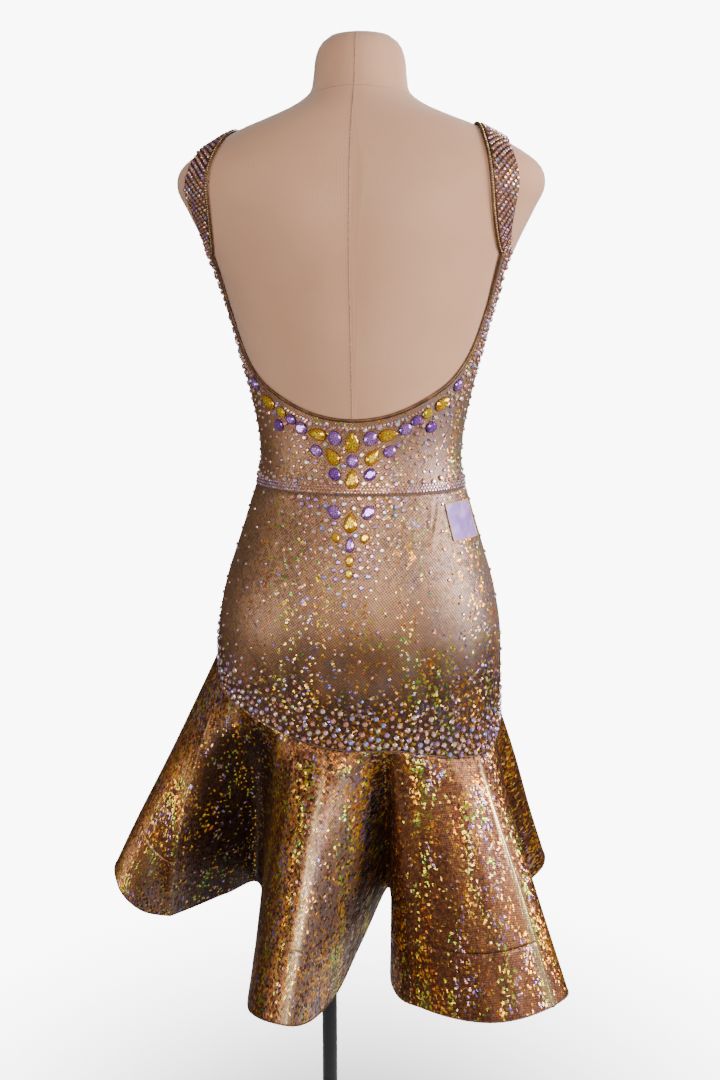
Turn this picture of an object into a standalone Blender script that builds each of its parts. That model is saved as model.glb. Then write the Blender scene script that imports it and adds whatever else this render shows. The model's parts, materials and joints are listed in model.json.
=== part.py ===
"""A backless salsa dance dress with a circular flounce, on a limbless dress form and its stand.

Frame: the floor is z = 0, the wearer's centre plane is x = 0 and the wearer faces -Y.
An angle round the body is 0 at the centre back, 90 at the wearer's left (+X), 180 at the front.
Units are metres; angles in the tables are degrees.
"""

import bisect
import math

import bmesh
import bpy
from mathutils import Vector

# ---------------------------------------------------------------- driving dimensions

OBJECT_NAME = "salsa_dance_dress"

# The form, as level sections: half breadth, reach to the back and to the front, and the
# exponent of the superellipse (2 is an ellipse, more is squarer).
FORM_COLUMNS = ("height", "half_breadth", "back", "front", "fullness")
FORM_SECTIONS = [
    (0.775, 0.1700, 0.114, 0.100, 2.2),
    (0.800, 0.1720, 0.120, 0.101, 2.2),
    (0.840, 0.1690, 0.123, 0.103, 2.2),
    (0.885, 0.1600, 0.118, 0.103, 2.2),
    (0.930, 0.1465, 0.105, 0.100, 2.1),
    (0.976, 0.1320, 0.090, 0.094, 2.0),
    (1.020, 0.1205, 0.078, 0.089, 2.0),
    (1.050, 0.1195, 0.075, 0.088, 2.0),
    (1.092, 0.1260, 0.079, 0.092, 2.0),
    (1.149, 0.1390, 0.090, 0.102, 2.1),
    (1.205, 0.1530, 0.101, 0.114, 2.2),
    (1.250, 0.1680, 0.107, 0.116, 2.2),
    (1.287, 0.1840, 0.109, 0.110, 2.3),
    (1.320, 0.2000, 0.107, 0.102, 2.4),
    (1.345, 0.2110, 0.103, 0.094, 2.5),
    (1.368, 0.2030, 0.098, 0.086, 2.5),
    (1.394, 0.1640, 0.089, 0.074, 2.3),
    (1.408, 0.1370, 0.082, 0.067, 2.2),
    (1.421, 0.1040, 0.075, 0.062, 2.1),
    (1.433, 0.0770, 0.067, 0.058, 2.0),
    (1.447, 0.0580, 0.058, 0.056, 2.0),
    (1.463, 0.0535, 0.052, 0.054, 2.0),
    (1.485, 0.0510, 0.048, 0.052, 2.0),
    (1.500, 0.0450, 0.042, 0.046, 2.0),
    (1.508, 0.0350, 0.033, 0.036, 2.0),
]
BUST_OUT = 0.076        # from the centre plane to the fullest point
BUST_HEIGHT = 1.235
BUST_RISE = 0.015
BUST_SPREAD = 0.054

# The cloth
CLEARANCE = 0.0013      # between the form and the cloth's inside
WALL = 0.0016
SEAM_GAP = 0.0003       # between two pieces sewn edge to edge
SLANT_GAP = 0.0006      # the same, straight down, where the flounce's seam runs on a slant
WAIST_SEAM = 1.000
HANG_FROM = 0.800       # below this height the skirt falls straight
SIDE_SEAM = 90.0        # angle of both side seams

# The bodice's edges: the angle at which each edge lies at a height
BACK_NECK_COLUMNS = ("height", "angle")
BACK_NECK = [
    (1.082, 0.0),
    (1.088, 20.0),
    (1.104, 38.0),
    (1.128, 56.0),
    (1.165, 69.0),
    (1.208, 73.0),
    (1.240, 70.5),
    (1.270, 66.5),
]
FRONT_NECK_COLUMNS = ("height", "angle")
FRONT_NECK = [
    (1.185, 180.0),
    (1.190, 166.0),
    (1.205, 151.0),
    (1.235, 139.0),
    (1.270, 132.0),
]
UNDERARM = 1.232        # height of the armhole's lowest point, on the side seam
STRAP_JOIN = 1.270      # height where the straps join the bodice
BACK_STRAP_OUTER = 78.0
FRONT_STRAP_OUTER = 112.0

# The strap over the shoulder, from back to front: the turn about a point inside the
# shoulder (0 is straight back, 90 is up), and how far out its two edges lie.
SHOULDER_HEIGHT = 1.300
SHOULDER_OUT = 0.120
SHOULDER_DEPTH = 0.002
STRAP_COLUMNS = ("turn", "inner", "outer")
STRAP_ROWS = [
    (22.0, 0.158, 0.181),
    (50.0, 0.150, 0.177),
    (75.0, 0.140, 0.170),
    (92.0, 0.136, 0.167),
    (112.0, 0.134, 0.165),
    (138.0, 0.134, 0.165),
    (168.0, 0.136, 0.167),
]

STRAP_SHIFT = 0.004     # both straps sit this much towards the wearer's left

BINDING_WIDTH = 0.0045
BINDING_THICKNESS = 0.0020

# The flounce: its seam runs round the hips on a slant, and its cut is as deep all round
FLOUNCE_SEAM_COLUMNS = ("angle", "height")
FLOUNCE_SEAM = [
    (-90.0, 0.712),
    (-66.0, 0.689),
    (-42.0, 0.692),
    (-18.0, 0.705),
    (4.0, 0.706),
    (22.0, 0.718),
    (44.0, 0.738),
    (64.0, 0.752),
    (88.0, 0.790),
    (112.0, 0.825),
    (140.0, 0.845),
    (175.0, 0.835),
    (210.0, 0.800),
    (240.0, 0.755),
]
FLOUNCE_DEPTH = 0.300           # from seam to hem along the cloth
# One row for each point of the folded hem, seen from above: where its line starts on
# the seam, and where it ends at the hem. A row stands on each side seam.
FOLD_COLUMNS = ("seam_angle", "hem_x", "hem_y")
FOLDS = [
    (-90.0, -0.170, -0.040),    # valley beside the right side seam
    (-80.0, -0.220, 0.055),
    (-70.0, -0.261, 0.115),     # right back fold, its outer side
    (-58.0, -0.247, 0.150),
    (-42.0, -0.181, 0.191),     # its crest
    (-26.0, -0.093, 0.162),
    (-17.0, -0.052, 0.116),     # its inner side
    (-12.5, -0.036, -0.036),    # valley, tucked in
    (-9.0, -0.006, 0.050),
    (-5.0, 0.012, 0.150),       # centre back fold, its right side
    (5.0, 0.046, 0.276),        # its crest
    (16.0, 0.095, 0.248),       # its left side
    (24.0, 0.118, 0.120),
    (32.0, 0.133, -0.010),      # valley, tucked in
    (43.0, 0.177, 0.012),
    (56.0, 0.241, 0.080),       # left fold, its near side
    (66.0, 0.268, 0.102),
    (78.0, 0.291, 0.102),       # its crest
    (90.0, 0.298, 0.070),
    (104.0, 0.250, -0.010),
    (119.0, 0.178, -0.085),     # valley
    (136.0, 0.205, -0.200),     # left front crest
    (148.0, 0.150, -0.205),
    (160.0, 0.088, -0.140),     # valley
    (174.0, 0.040, -0.250),     # front crest
    (190.0, -0.050, -0.245),
    (204.0, -0.082, -0.135),    # valley
    (219.0, -0.135, -0.235),    # right front crest
    (230.0, -0.190, -0.210),
    (240.0, -0.150, -0.110),    # valley
    (250.0, -0.215, -0.150),    # right crest
    (262.0, -0.243, -0.118),
]

# Large sewn-on stones. The other side has the same, turned the other way.
STONE_SIDES = 8
STONE_LAYERS = ((0.90, -0.0007), (1.00, 0.0014), (0.58, 0.0032))   # size, out from the cloth
STONE_COLUMNS = ("shape", "angle", "height", "width", "length", "turn")
BODICE_STONES = [
    ("drop", 0.0, 1.0600, 0.0190, 0.0240, 0.0),
    ("oval", 9.6, 1.0640, 0.0150, 0.0175, 30.0),
    ("drop", 11.0, 1.0430, 0.0170, 0.0215, 35.0),
    ("oval", 0.0, 1.0380, 0.0140, 0.0150, 0.0),
    ("drop", 0.0, 1.0180, 0.0180, 0.0225, 0.0),
    ("drop", 19.4, 1.0680, 0.0165, 0.0225, 75.0),
    ("oval", 28.9, 1.0746, 0.0140, 0.0160, 60.0),
    ("oval", 34.8, 1.0840, 0.0115, 0.0140, 55.0),
    ("oval", 41.0, 1.0920, 0.0115, 0.0140, 45.0),
    ("drop", 50.5, 1.1030, 0.0165, 0.0220, 50.0),
    ("oval", 60.0, 1.1230, 0.0120, 0.0150, 30.0),
    ("oval", 45.0, 1.0760, 0.0110, 0.0130, 60.0),
    ("oval", 9.6, 1.0230, 0.0130, 0.0155, 40.0),
    ("oval", 20.5, 1.0490, 0.0130, 0.0155, 50.0),
]
SKIRT_STONES = [
    ("drop", 0.0, 0.9700, 0.0180, 0.0230, 0.0),
    ("oval", 8.6, 0.9810, 0.0135, 0.0175, 40.0),
    ("drop", 0.0, 0.9460, 0.0125, 0.0180, 0.0),
]

# The label on the right hip
LABEL_ANGLE = -66.0
LABEL_MIDDLE = 0.966
LABEL_WIDTH = 0.048
LABEL_HEIGHT = 0.042
LABEL_THICKNESS = 0.0008
LABEL_OUT = 0.0006      # its underside above the cloth, which is curved both ways here

# The stand
POLE_X = 0.041          # the pole stands off the centre plane, under the left hip
POLE_DIAMETER = 0.020
BASE_DIAMETER = 0.380
BASE_THICKNESS = 0.006
BASE_BEVEL = 0.0015
HUB_DIAMETER = 0.056
HUB_HEIGHT = 0.030
HUB_FLANGE = 0.008      # height of its flange, above which it narrows to its wall
HUB_WALL = 0.006
HUB_ROUND = 0.002       # of the edge round its top
FIT_GAP = 0.0003

# How finely the pieces are divided
SHARP_ANGLE = math.radians(40)
FORM_TURNS = 40         # faces round the form
FORM_STEP = 0.024       # height of its faces
NECK_BASE_ROWS = [1.408, 1.421, 1.433, 1.447]   # more rows where the shoulders turn into the neck
PANEL_FACES = 12        # faces across a bodice panel, or half of one
PANEL_STEP = 0.020      # height of a bodice panel's faces
NECK_ROWS = 9           # rows up the back neckline's curve
ARMHOLE_TURNS = (22, 45, 68, 90)    # degrees round the quarter oval of the armhole
SKIRT_FACES = 28        # faces across a skirt panel
SKIRT_ROWS = 9
STRAP_FACES = 4         # faces across a strap
STRAP_STEPS = 3         # faces from one row of the strap table to the next
FOLD_FACES = 3          # faces from one row of the fold table to the next
FLOUNCE_ROWS = 5
LABEL_FACES = (5, 3)    # across and up
BASE_SIDES = 48
POLE_SIDES = 20
HUB_SIDES = 24


# ---------------------------------------------------------------- smooth curves

def smooth_value(xs, ys, x):
    """Value at x of a smooth curve through the points (xs, ys), with xs rising."""
    i = min(max(bisect.bisect_right(xs, x) - 1, 0), len(xs) - 2)
    span = xs[i + 1] - xs[i]
    t = min(max((x - xs[i]) / span, 0.0), 1.0)

    def slope(k):
        a, b = max(k - 1, 0), min(k + 1, len(xs) - 1)
        return (ys[b] - ys[a]) / (xs[b] - xs[a])

    start, end = slope(i) * span, slope(i + 1) * span
    rise = ys[i + 1] - ys[i]
    return ys[i] + t * (start + t * ((3 * rise - 2 * start - end) + t * (start + end - 2 * rise)))


def read_column(rows, columns, name):
    return [row[columns.index(name)] for row in rows]


def steps(start, end, count):
    return [start + (end - start) * k / count for k in range(count + 1)]


# ---------------------------------------------------------------- the body under the cloth

FORM_HEIGHTS = read_column(FORM_SECTIONS, FORM_COLUMNS, "height")
FORM_MEASURES = [read_column(FORM_SECTIONS, FORM_COLUMNS, name) for name in FORM_COLUMNS[1:]]


def form_section(z):
    """Half breadth, middle, half depth and fullness of the form at a height."""
    half, back, front, fullness = (smooth_value(FORM_HEIGHTS, m, z) for m in FORM_MEASURES)
    return half, (back - front) / 2, (back + front) / 2, fullness


def bust_rise(x, z):
    away = math.hypot(abs(x) - BUST_OUT, z - BUST_HEIGHT) / BUST_SPREAD
    return BUST_RISE * math.exp(-away * away)


def signed_power(value, power):
    return math.copysign(abs(value) ** power, value)


def form_point(angle, z, section_z=None):
    """Point of the form at an angle round it; a section from another height can be used."""
    level = z if section_z is None else section_z
    half, middle, depth, fullness = form_section(level)
    turn = math.radians(angle)
    x = half * signed_power(math.sin(turn), 2 / fullness)
    reach = signed_power(math.cos(turn), 2 / fullness)
    if reach < 0:
        depth += bust_rise(x, level)
    return Vector((x, middle + depth * reach, z))


def body_point(angle, z):
    """Point of the body that the skirt and bodice follow: the form, straight below the hips."""
    return form_point(angle, z, max(z, HANG_FROM))


def normal_at(surface, u, v, du, dv):
    """Outward normal of a surface of two values, the first running round the body."""
    along = surface(u + du, v) - surface(u - du, v)
    up = surface(u, v + dv) - surface(u, v - dv)
    return up.cross(along).normalized()


def cloth_normal(angle, z):
    return normal_at(body_point, angle, z, 0.5, 0.002)


def cloth_point(angle, z, out):
    """Point at this height, a distance out from the body along its surface's normal."""
    normal = cloth_normal(angle, z)
    level = Vector((normal.x, normal.y, 0.0))
    return body_point(angle, z) + level * (out / level.length_squared)


# ---------------------------------------------------------------- meshes and materials

def make_material(name, colour, roughness, metallic):
    material = bpy.data.materials.new(name)
    material.use_nodes = True
    shader = material.node_tree.nodes["Principled BSDF"]
    shader.inputs["Base Color"].default_value = (*colour, 1.0)
    shader.inputs["Roughness"].default_value = roughness
    shader.inputs["Metallic"].default_value = metallic
    return material


def add_object(name, mesh, collection, material):
    piece = bpy.data.objects.new(name, mesh)
    collection.objects.link(piece)
    mesh.materials.append(material)
    mesh.shade_smooth()
    mesh.set_sharp_from_angle(angle=SHARP_ANGLE)
    return piece


def mesh_from(name, points, faces):
    mesh = bpy.data.meshes.new(name)
    mesh.from_pydata([tuple(p) for p in points], [], faces)
    mesh.update()
    return mesh


def wall_mesh(name, outer, inner, mirrored=False):
    """Closed wall between two grids of points; a mirrored half stays open at x = 0."""
    rows, columns = len(outer), len(outer[0])
    points = [p for grid in (outer, inner) for row in grid for p in row]
    inside = rows * columns

    def at(row, column):
        return row * columns + column

    faces = []
    for r in range(rows - 1):
        for c in range(columns - 1):
            quad = (at(r, c), at(r, c + 1), at(r + 1, c + 1), at(r + 1, c))
            faces.append(quad[::-1])
            faces.append(tuple(inside + k for k in quad))
    edge = [at(0, c) for c in range(columns)]
    edge += [at(r, columns - 1) for r in range(1, rows)]
    edge += [at(rows - 1, c) for c in range(columns - 2, -1, -1)]
    edge += [at(r, 0) for r in range(rows - 2, 0, -1)]
    for a, b in zip(edge, edge[1:] + edge[:1]):
        if mirrored and abs(points[a].x) < 1e-7 and abs(points[b].x) < 1e-7:
            continue
        faces.append((a, b, inside + b, inside + a))
    return mesh_from(name, points, faces)


def face_outward(piece):
    """Turn every face of a closed mesh outward."""
    bm = bmesh.new()
    bm.from_mesh(piece.data)
    bmesh.ops.recalc_face_normals(bm, faces=bm.faces)
    bm.to_mesh(piece.data)
    bm.free()


def mirror_across_centre(piece):
    mirror = piece.modifiers.new("other half", "MIRROR")
    mirror.use_axis = (True, False, False)
    mirror.merge_threshold = 0.00001
    mirror.use_clip = True


# ---------------------------------------------------------------- the form and its stand

def make_form(collection, material):
    bottom, top = FORM_HEIGHTS[0], FORM_HEIGHTS[-1]
    heights = steps(bottom, top, round((top - bottom) / FORM_STEP))
    heights = sorted(set(heights + NECK_BASE_ROWS))
    points = [
        form_point(360.0 * k / FORM_TURNS, z) for z in heights for k in range(FORM_TURNS)
    ]
    faces = []
    for r in range(len(heights) - 1):
        for k in range(FORM_TURNS):
            n = (k + 1) % FORM_TURNS
            below, above = r * FORM_TURNS, (r + 1) * FORM_TURNS
            faces.append((below + n, below + k, above + k, above + n))
    faces.append(tuple(range(FORM_TURNS)))
    faces.append(tuple(reversed(range(len(points) - FORM_TURNS, len(points)))))
    form = add_object("form_torso", mesh_from("form_torso", points, faces), collection, material)
    face_outward(form)


def make_cylinder(name, bottom, top, diameter, sides, collection, material):
    """Upright round solid on the pole's line."""
    bpy.ops.mesh.primitive_cylinder_add(
        vertices=sides, radius=diameter / 2, depth=top - bottom,
        location=(POLE_X, 0, (bottom + top) / 2),
    )
    piece = bpy.context.object
    piece.name = name
    for other in piece.users_collection:
        other.objects.unlink(piece)
    collection.objects.link(piece)
    piece.data.materials.append(material)
    piece.data.shade_smooth()
    piece.data.set_sharp_from_angle(angle=SHARP_ANGLE)
    return piece


def make_hub(collection, material):
    bore = POLE_DIAMETER / 2 + FIT_GAP
    low, high = BASE_THICKNESS + FIT_GAP, BASE_THICKNESS + HUB_HEIGHT
    profile = [
        (bore, low),
        (HUB_DIAMETER / 2, low),
        (HUB_DIAMETER / 2, low + HUB_FLANGE),
        (bore + HUB_WALL, high - HUB_ROUND),
        (bore + HUB_WALL - HUB_ROUND, high),
        (bore, high),
    ]
    mesh = bpy.data.meshes.new("stand_hub")
    edges = [(k, (k + 1) % len(profile)) for k in range(len(profile))]
    mesh.from_pydata([(r, 0, z) for r, z in profile], edges, [])
    hub = add_object("stand_hub", mesh, collection, material)
    hub.location.x = POLE_X
    screw = hub.modifiers.new("turned", "SCREW")
    screw.steps = HUB_SIDES
    screw.render_steps = HUB_SIDES
    screw.use_merge_vertices = True
    screw.merge_threshold = 0.00001
    screw.use_normal_flip = True


def make_stand(collection, material):
    base = make_cylinder(
        "stand_base", 0, BASE_THICKNESS, BASE_DIAMETER, BASE_SIDES, collection, material
    )
    bevel = base.modifiers.new("soft rim", "BEVEL")
    bevel.width = BASE_BEVEL
    bevel.segments = 1
    bevel.limit_method = "ANGLE"
    make_cylinder(
        "stand_pole", BASE_THICKNESS + FIT_GAP, FORM_HEIGHTS[0] - FIT_GAP,
        POLE_DIAMETER, POLE_SIDES, collection, material,
    )
    make_hub(collection, material)


# ---------------------------------------------------------------- bodice and skirt

def half_panel(name, heights, first_angle, last_angle, collection, material):
    """Wall of cloth between two angles that may change with the height, and its other half."""
    grids = []
    for out in (CLEARANCE + WALL, CLEARANCE):
        grid = []
        for z in heights:
            angles = steps(first_angle(z), last_angle(z), PANEL_FACES)
            row = [cloth_point(angle, z, out) for angle in angles]
            for p in row:
                p.x = 0.0 if abs(p.x) < 1e-5 else p.x
            grid.append(row)
        grids.append(grid)
    piece = add_object(name, wall_mesh(name, *grids, mirrored=True), collection, material)
    mirror_across_centre(piece)
    return piece


def side_gap(z):
    """Angle from the side seam's middle to a panel's edge at a height."""
    _, _, depth, fullness = form_section(max(z, HANG_FROM))
    return math.degrees(math.asin((SEAM_GAP / 2 / depth) ** (fullness / 2)))


def neck_angle(rows, columns, z, below):
    """Angle of the neckline's edge, which runs level where it crosses the centre."""
    heights = read_column(rows, columns, "height")
    if z <= heights[0]:
        return below
    rises = [math.sqrt(h - heights[0]) for h in heights]
    return smooth_value(rises, read_column(rows, columns, "angle"), math.sqrt(z - heights[0]))


def armhole_angle(z, strap_outer):
    """Angle of the armhole's edge: level at the side seam, then a quarter oval up to the strap."""
    if z <= UNDERARM:
        return SIDE_SEAM
    below_strap = 1 - min((z - UNDERARM) / (STRAP_JOIN - UNDERARM), 1.0)
    return SIDE_SEAM + (strap_outer - SIDE_SEAM) * math.sqrt(1 - below_strap * below_strap)


def bodice_heights(neck_bottom):
    """Heights of a bodice panel's rows: close together where the neckline runs level."""
    start = WAIST_SEAM + SEAM_GAP / 2
    plain = steps(start, neck_bottom, round((neck_bottom - start) / PANEL_STEP))
    count = NECK_ROWS if neck_bottom < UNDERARM - 0.1 else NECK_ROWS // 2
    curved = [neck_bottom + (UNDERARM - neck_bottom) * (k / count) ** 2 for k in range(1, count + 1)]
    arm_rise = STRAP_JOIN - UNDERARM
    arm = [UNDERARM + arm_rise * (1 - math.cos(math.radians(turn))) for turn in ARMHOLE_TURNS]
    return plain + curved + arm


def back_neck_angle(z):
    return neck_angle(BACK_NECK, BACK_NECK_COLUMNS, z, 0.0)


def front_neck_angle(z):
    return neck_angle(FRONT_NECK, FRONT_NECK_COLUMNS, z, 180.0)


def back_arm_angle(z):
    return armhole_angle(z, BACK_STRAP_OUTER) - side_gap(z)


def front_arm_angle(z):
    return armhole_angle(z, FRONT_STRAP_OUTER) + side_gap(z)


def make_bodice(collection, material):
    half_panel(
        "bodice_front", bodice_heights(FRONT_NECK[0][0]), front_arm_angle, front_neck_angle,
        collection, material,
    )
    return half_panel(
        "bodice_back", bodice_heights(BACK_NECK[0][0]), back_neck_angle, back_arm_angle,
        collection, material,
    )


def loop_value(rows, columns, name, angle):
    """Smooth curve through a table's values round a full turn."""
    xs, ys = read_column(rows, columns, columns[0]), read_column(rows, columns, name)
    turned = (angle - xs[0]) % 360 + xs[0]
    xs = [xs[-2] - 360, xs[-1] - 360] + xs + [xs[0] + 360, xs[1] + 360]
    ys = ys[-2:] + ys + ys[:2]
    return smooth_value(xs, ys, turned)


def flounce_seam(angle):
    return loop_value(FLOUNCE_SEAM, FLOUNCE_SEAM_COLUMNS, "height", angle)


def halves(name):
    """Back and front half of a piece, each with its first and last angle."""
    side = SIDE_SEAM - side_gap(HANG_FROM)
    return (name + "_back", -side, side), (name + "_front", 180 - side, 180 + side)


def make_skirt(collection, material):
    top = WAIST_SEAM - SEAM_GAP / 2
    for name, first, last in halves("skirt"):
        grids = []
        for out in (CLEARANCE + WALL, CLEARANCE):
            columns = []
            for angle in steps(first, last, SKIRT_FACES):
                heights = steps(flounce_seam(angle) + SLANT_GAP / 2, top, SKIRT_ROWS)
                columns.append([cloth_point(angle, z, out) for z in heights])
            grids.append([list(row) for row in zip(*columns)])
        piece = add_object(name, wall_mesh(name, *grids), collection, material)
        face_outward(piece)
    return collection.objects["skirt_back"]


# ---------------------------------------------------------------- flounce

def hem_point(angle):
    """Point of the hem whose line starts at this angle of the seam."""
    x = loop_value(FOLDS, FOLD_COLUMNS, "hem_x", angle)
    y = loop_value(FOLDS, FOLD_COLUMNS, "hem_y", angle)
    start = seam_point(angle)
    level = math.hypot(x - start.x, y - start.y)
    return Vector((x, y, start.z - math.sqrt(FLOUNCE_DEPTH ** 2 - level ** 2)))


def seam_point(angle):
    return cloth_point(angle, flounce_seam(angle) - SLANT_GAP / 2, CLEARANCE + WALL / 2)


def flounce_point(angle, down):
    """Point of the flounce, down from 0 at the seam to 1 at the hem."""
    return seam_point(angle).lerp(hem_point(angle), down)


def flounce_normal(angle, down):
    if down == 0:
        start = body_point(angle, flounce_seam(angle))
        return (cloth_point(angle, flounce_seam(angle), 0.01) - start).normalized()
    return -normal_at(flounce_point, angle, down, 0.3, 0.01)


def fold_angles(first, last):
    """Seam angles of the flounce's columns: as many in each stretch of the fold table."""
    rows = [a for a in read_column(FOLDS, FOLD_COLUMNS, "seam_angle") if first < a < last]
    keys = [first] + rows + [last]
    angles = [first]
    for start, end in zip(keys, keys[1:]):
        angles += steps(start, end, FOLD_FACES)[1:]
    return angles


def make_flounce(collection, material):
    for name, first, last in halves("flounce"):
        outer, inner = [], []
        angles = fold_angles(first, last)
        for down in steps(0, 1, FLOUNCE_ROWS):
            line = [(flounce_point(a, down), flounce_normal(a, down)) for a in angles]
            outer.append([p + n * WALL / 2 for p, n in line])
            inner.append([p - n * WALL / 2 for p, n in line])
        piece = add_object(name, wall_mesh(name, outer[::-1], inner[::-1]), collection, material)
        face_outward(piece)


# ---------------------------------------------------------------- straps

def inside_form(point):
    half, middle, depth, fullness = form_section(point.z)
    if abs(point.x) >= half:
        return False
    reach = (1 - (abs(point.x) / half) ** fullness) ** (1 / fullness)
    front = depth + bust_rise(point.x, point.z)
    return -front * reach < point.y - middle < depth * reach


def shoulder_point(turn, lean):
    """Where a ray from inside the left shoulder meets the form."""
    start = Vector((SHOULDER_OUT, SHOULDER_DEPTH, SHOULDER_HEIGHT))
    turn, lean = math.radians(turn), math.radians(lean)
    ray = Vector((math.sin(lean), math.cos(lean) * math.cos(turn), math.cos(lean) * math.sin(turn)))
    near, far = 0.0, 0.25
    for _ in range(26):
        middle = (near + far) / 2
        if inside_form(start + ray * middle):
            near = middle
        else:
            far = middle
    return start + ray * near


def strap_normal(turn, lean):
    return -normal_at(shoulder_point, turn, lean, 2.0, 2.0)


def strap_point(turn, lean, out):
    return shoulder_point(turn, lean) + strap_normal(turn, lean) * out


def lean_at(turn, x):
    """The lean at which a ray of this turn meets the form at x."""
    low, high = -20.0, 80.0
    for _ in range(22):
        middle = (low + high) / 2
        if shoulder_point(turn, middle).x < x:
            low = middle
        else:
            high = middle
    return low


def aim(point):
    """Turn and lean of the ray from inside the shoulder through a point."""
    ray = point - Vector((SHOULDER_OUT, SHOULDER_DEPTH, SHOULDER_HEIGHT))
    turn = math.degrees(math.atan2(ray.z, ray.y))
    if turn < -90:
        turn += 360
    return turn, math.degrees(math.asin(ray.x / ray.length))


def strap_ends():
    """Angles across the strap's back end and front end, from the neckline outward."""
    return (
        steps(back_neck_angle(STRAP_JOIN), BACK_STRAP_OUTER, STRAP_FACES),
        steps(front_neck_angle(STRAP_JOIN), FRONT_STRAP_OUTER, STRAP_FACES),
    )


def strap_rows(side):
    """Turns and leans of a strap's points, row by row from back to front."""
    first, last = ([aim(cloth_point(a, STRAP_JOIN, 0)) for a in end] for end in strap_ends())
    keys = [first]
    for turn, inner, outer in STRAP_ROWS:
        shift = STRAP_SHIFT * side
        leans = steps(lean_at(turn, inner + shift), lean_at(turn, outer + shift), STRAP_FACES)
        keys.append([(turn, lean) for lean in leans])
    keys.append(last)
    places = [float(k) for k in range(len(keys))]
    rows = []
    for at in steps(0, len(keys) - 1, STRAP_STEPS * (len(keys) - 1)):
        row = []
        for column in range(STRAP_FACES + 1):
            turns = [key[column][0] for key in keys]
            leans = [key[column][1] for key in keys]
            row.append((smooth_value(places, turns, at), smooth_value(places, leans, at)))
        rows.append(row)
    return rows


def on_side(point, side):
    return Vector((point.x * side, point.y, point.z))


def make_straps(collection, material):
    for name, side in (("strap_left", 1), ("strap_right", -1)):
        rows = strap_rows(side)
        grids = []
        for out in (CLEARANCE + WALL, CLEARANCE):
            grid = [[strap_point(turn, lean, out) for turn, lean in row] for row in rows]
            for edge, angles in zip((0, -1), strap_ends()):
                grid[edge] = [cloth_point(a, STRAP_JOIN + SEAM_GAP, out) for a in angles]
            grids.append([[on_side(p, side) for p in row] for row in grid])
        piece = add_object(name, wall_mesh(name, *grids), collection, material)
        face_outward(piece)


# ---------------------------------------------------------------- neckline binding

def neck_edge(side):
    """Points of the cloth's outer edge from the centre back to the centre front, with normals."""
    out = CLEARANCE + WALL

    def panel_edge(bottom, edge_angle):
        places = [(edge_angle(z), z) for z in bodice_heights(bottom) if z >= bottom]
        return [(cloth_point(angle, z, out), cloth_normal(angle, z)) for angle, z in places]

    back = panel_edge(BACK_NECK[0][0], back_neck_angle)
    front = panel_edge(FRONT_NECK[0][0], front_neck_angle)
    inner = [row[0] for row in strap_rows(side)[1:-1]]
    strap = [(strap_point(turn, lean, out), strap_normal(turn, lean)) for turn, lean in inner]
    edge = back + strap + front[::-1]
    return [(on_side(point, side), on_side(normal, side)) for point, normal in edge]


def make_binding(collection, material):
    left, right = neck_edge(1), neck_edge(-1)
    path = left + right[-2:0:-1]
    rings = []
    for k, (point, normal) in enumerate(path):
        along = path[(k + 1) % len(path)][0] - path[k - 1][0]
        inward = along.cross(normal).normalized()
        near, far = SEAM_GAP, SEAM_GAP + BINDING_WIDTH
        low, high = -WALL, BINDING_THICKNESS - WALL
        for across, out in ((near, low), (far, low), (far, high), (near, high)):
            rings.append(point + inward * across + normal * out)
    faces = []
    for k in range(len(path)):
        n = (k + 1) % len(path)
        for c in range(4):
            d = (c + 1) % 4
            faces.append((4 * k + c, 4 * k + d, 4 * n + d, 4 * n + c))
    mesh = mesh_from("neck_binding", rings, faces)
    face_outward(add_object("neck_binding", mesh, collection, material))


# ---------------------------------------------------------------- what is sewn on

def placed_on_cloth(angle, z, across, up, out):
    """Point of the cloth beside a given place: across to the left, up, and out from the cloth."""
    surface = CLEARANCE + WALL
    two_degrees = cloth_point(angle + 1, z, surface) - cloth_point(angle - 1, z, surface)
    turned = angle + 2 * across / two_degrees.length
    return cloth_point(turned, z + up, surface + out)


def stone_outline(shape):
    """Outline of a stone in units of its half width and half length; a drop points up."""
    outline = []
    for k in range(STONE_SIDES):
        turn = 2 * math.pi * k / STONE_SIDES
        narrow = math.sin(turn / 2) if shape == "drop" else 1.0
        outline.append((math.sin(turn) * narrow, math.cos(turn)))
    return outline


def add_stone(points, faces, row, side):
    shape, angle, z, width, length, turn = row
    turn = math.radians(turn * side)
    outline = stone_outline(shape)
    start = len(points)
    for size, out in STONE_LAYERS:
        for u, v in outline:
            u, v = u * size * width / 2, v * size * length / 2
            across = u * math.cos(turn) - v * math.sin(turn)
            up = u * math.sin(turn) + v * math.cos(turn)
            points.append(placed_on_cloth(angle * side, z, across, up, out))
    count = len(outline)
    for layer in range(len(STONE_LAYERS) - 1):
        for k in range(count):
            n = (k + 1) % count
            low, high = start + layer * count, start + (layer + 1) * count
            faces.append((low + k, low + n, high + n, high + k))
    faces.append(tuple(start + k for k in range(count)))
    top = start + (len(STONE_LAYERS) - 1) * count
    faces.append(tuple(top + k for k in range(count)))


def raise_stones(panel_piece, rows, cutters, material):
    """Join large stones to a panel's outer side."""
    points, faces = [], []
    for row in rows:
        for side in ((1, -1) if row[STONE_COLUMNS.index("angle")] else (1,)):
            add_stone(points, faces, row, side)
    name = panel_piece.name + "_stones"
    stones = add_object(name, mesh_from(name, points, faces), cutters, material)
    face_outward(stones)
    stones.hide_render = True
    stones.display_type = "WIRE"
    union = panel_piece.modifiers.new("large stones", "BOOLEAN")
    union.operation = "UNION"
    union.object = stones


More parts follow.
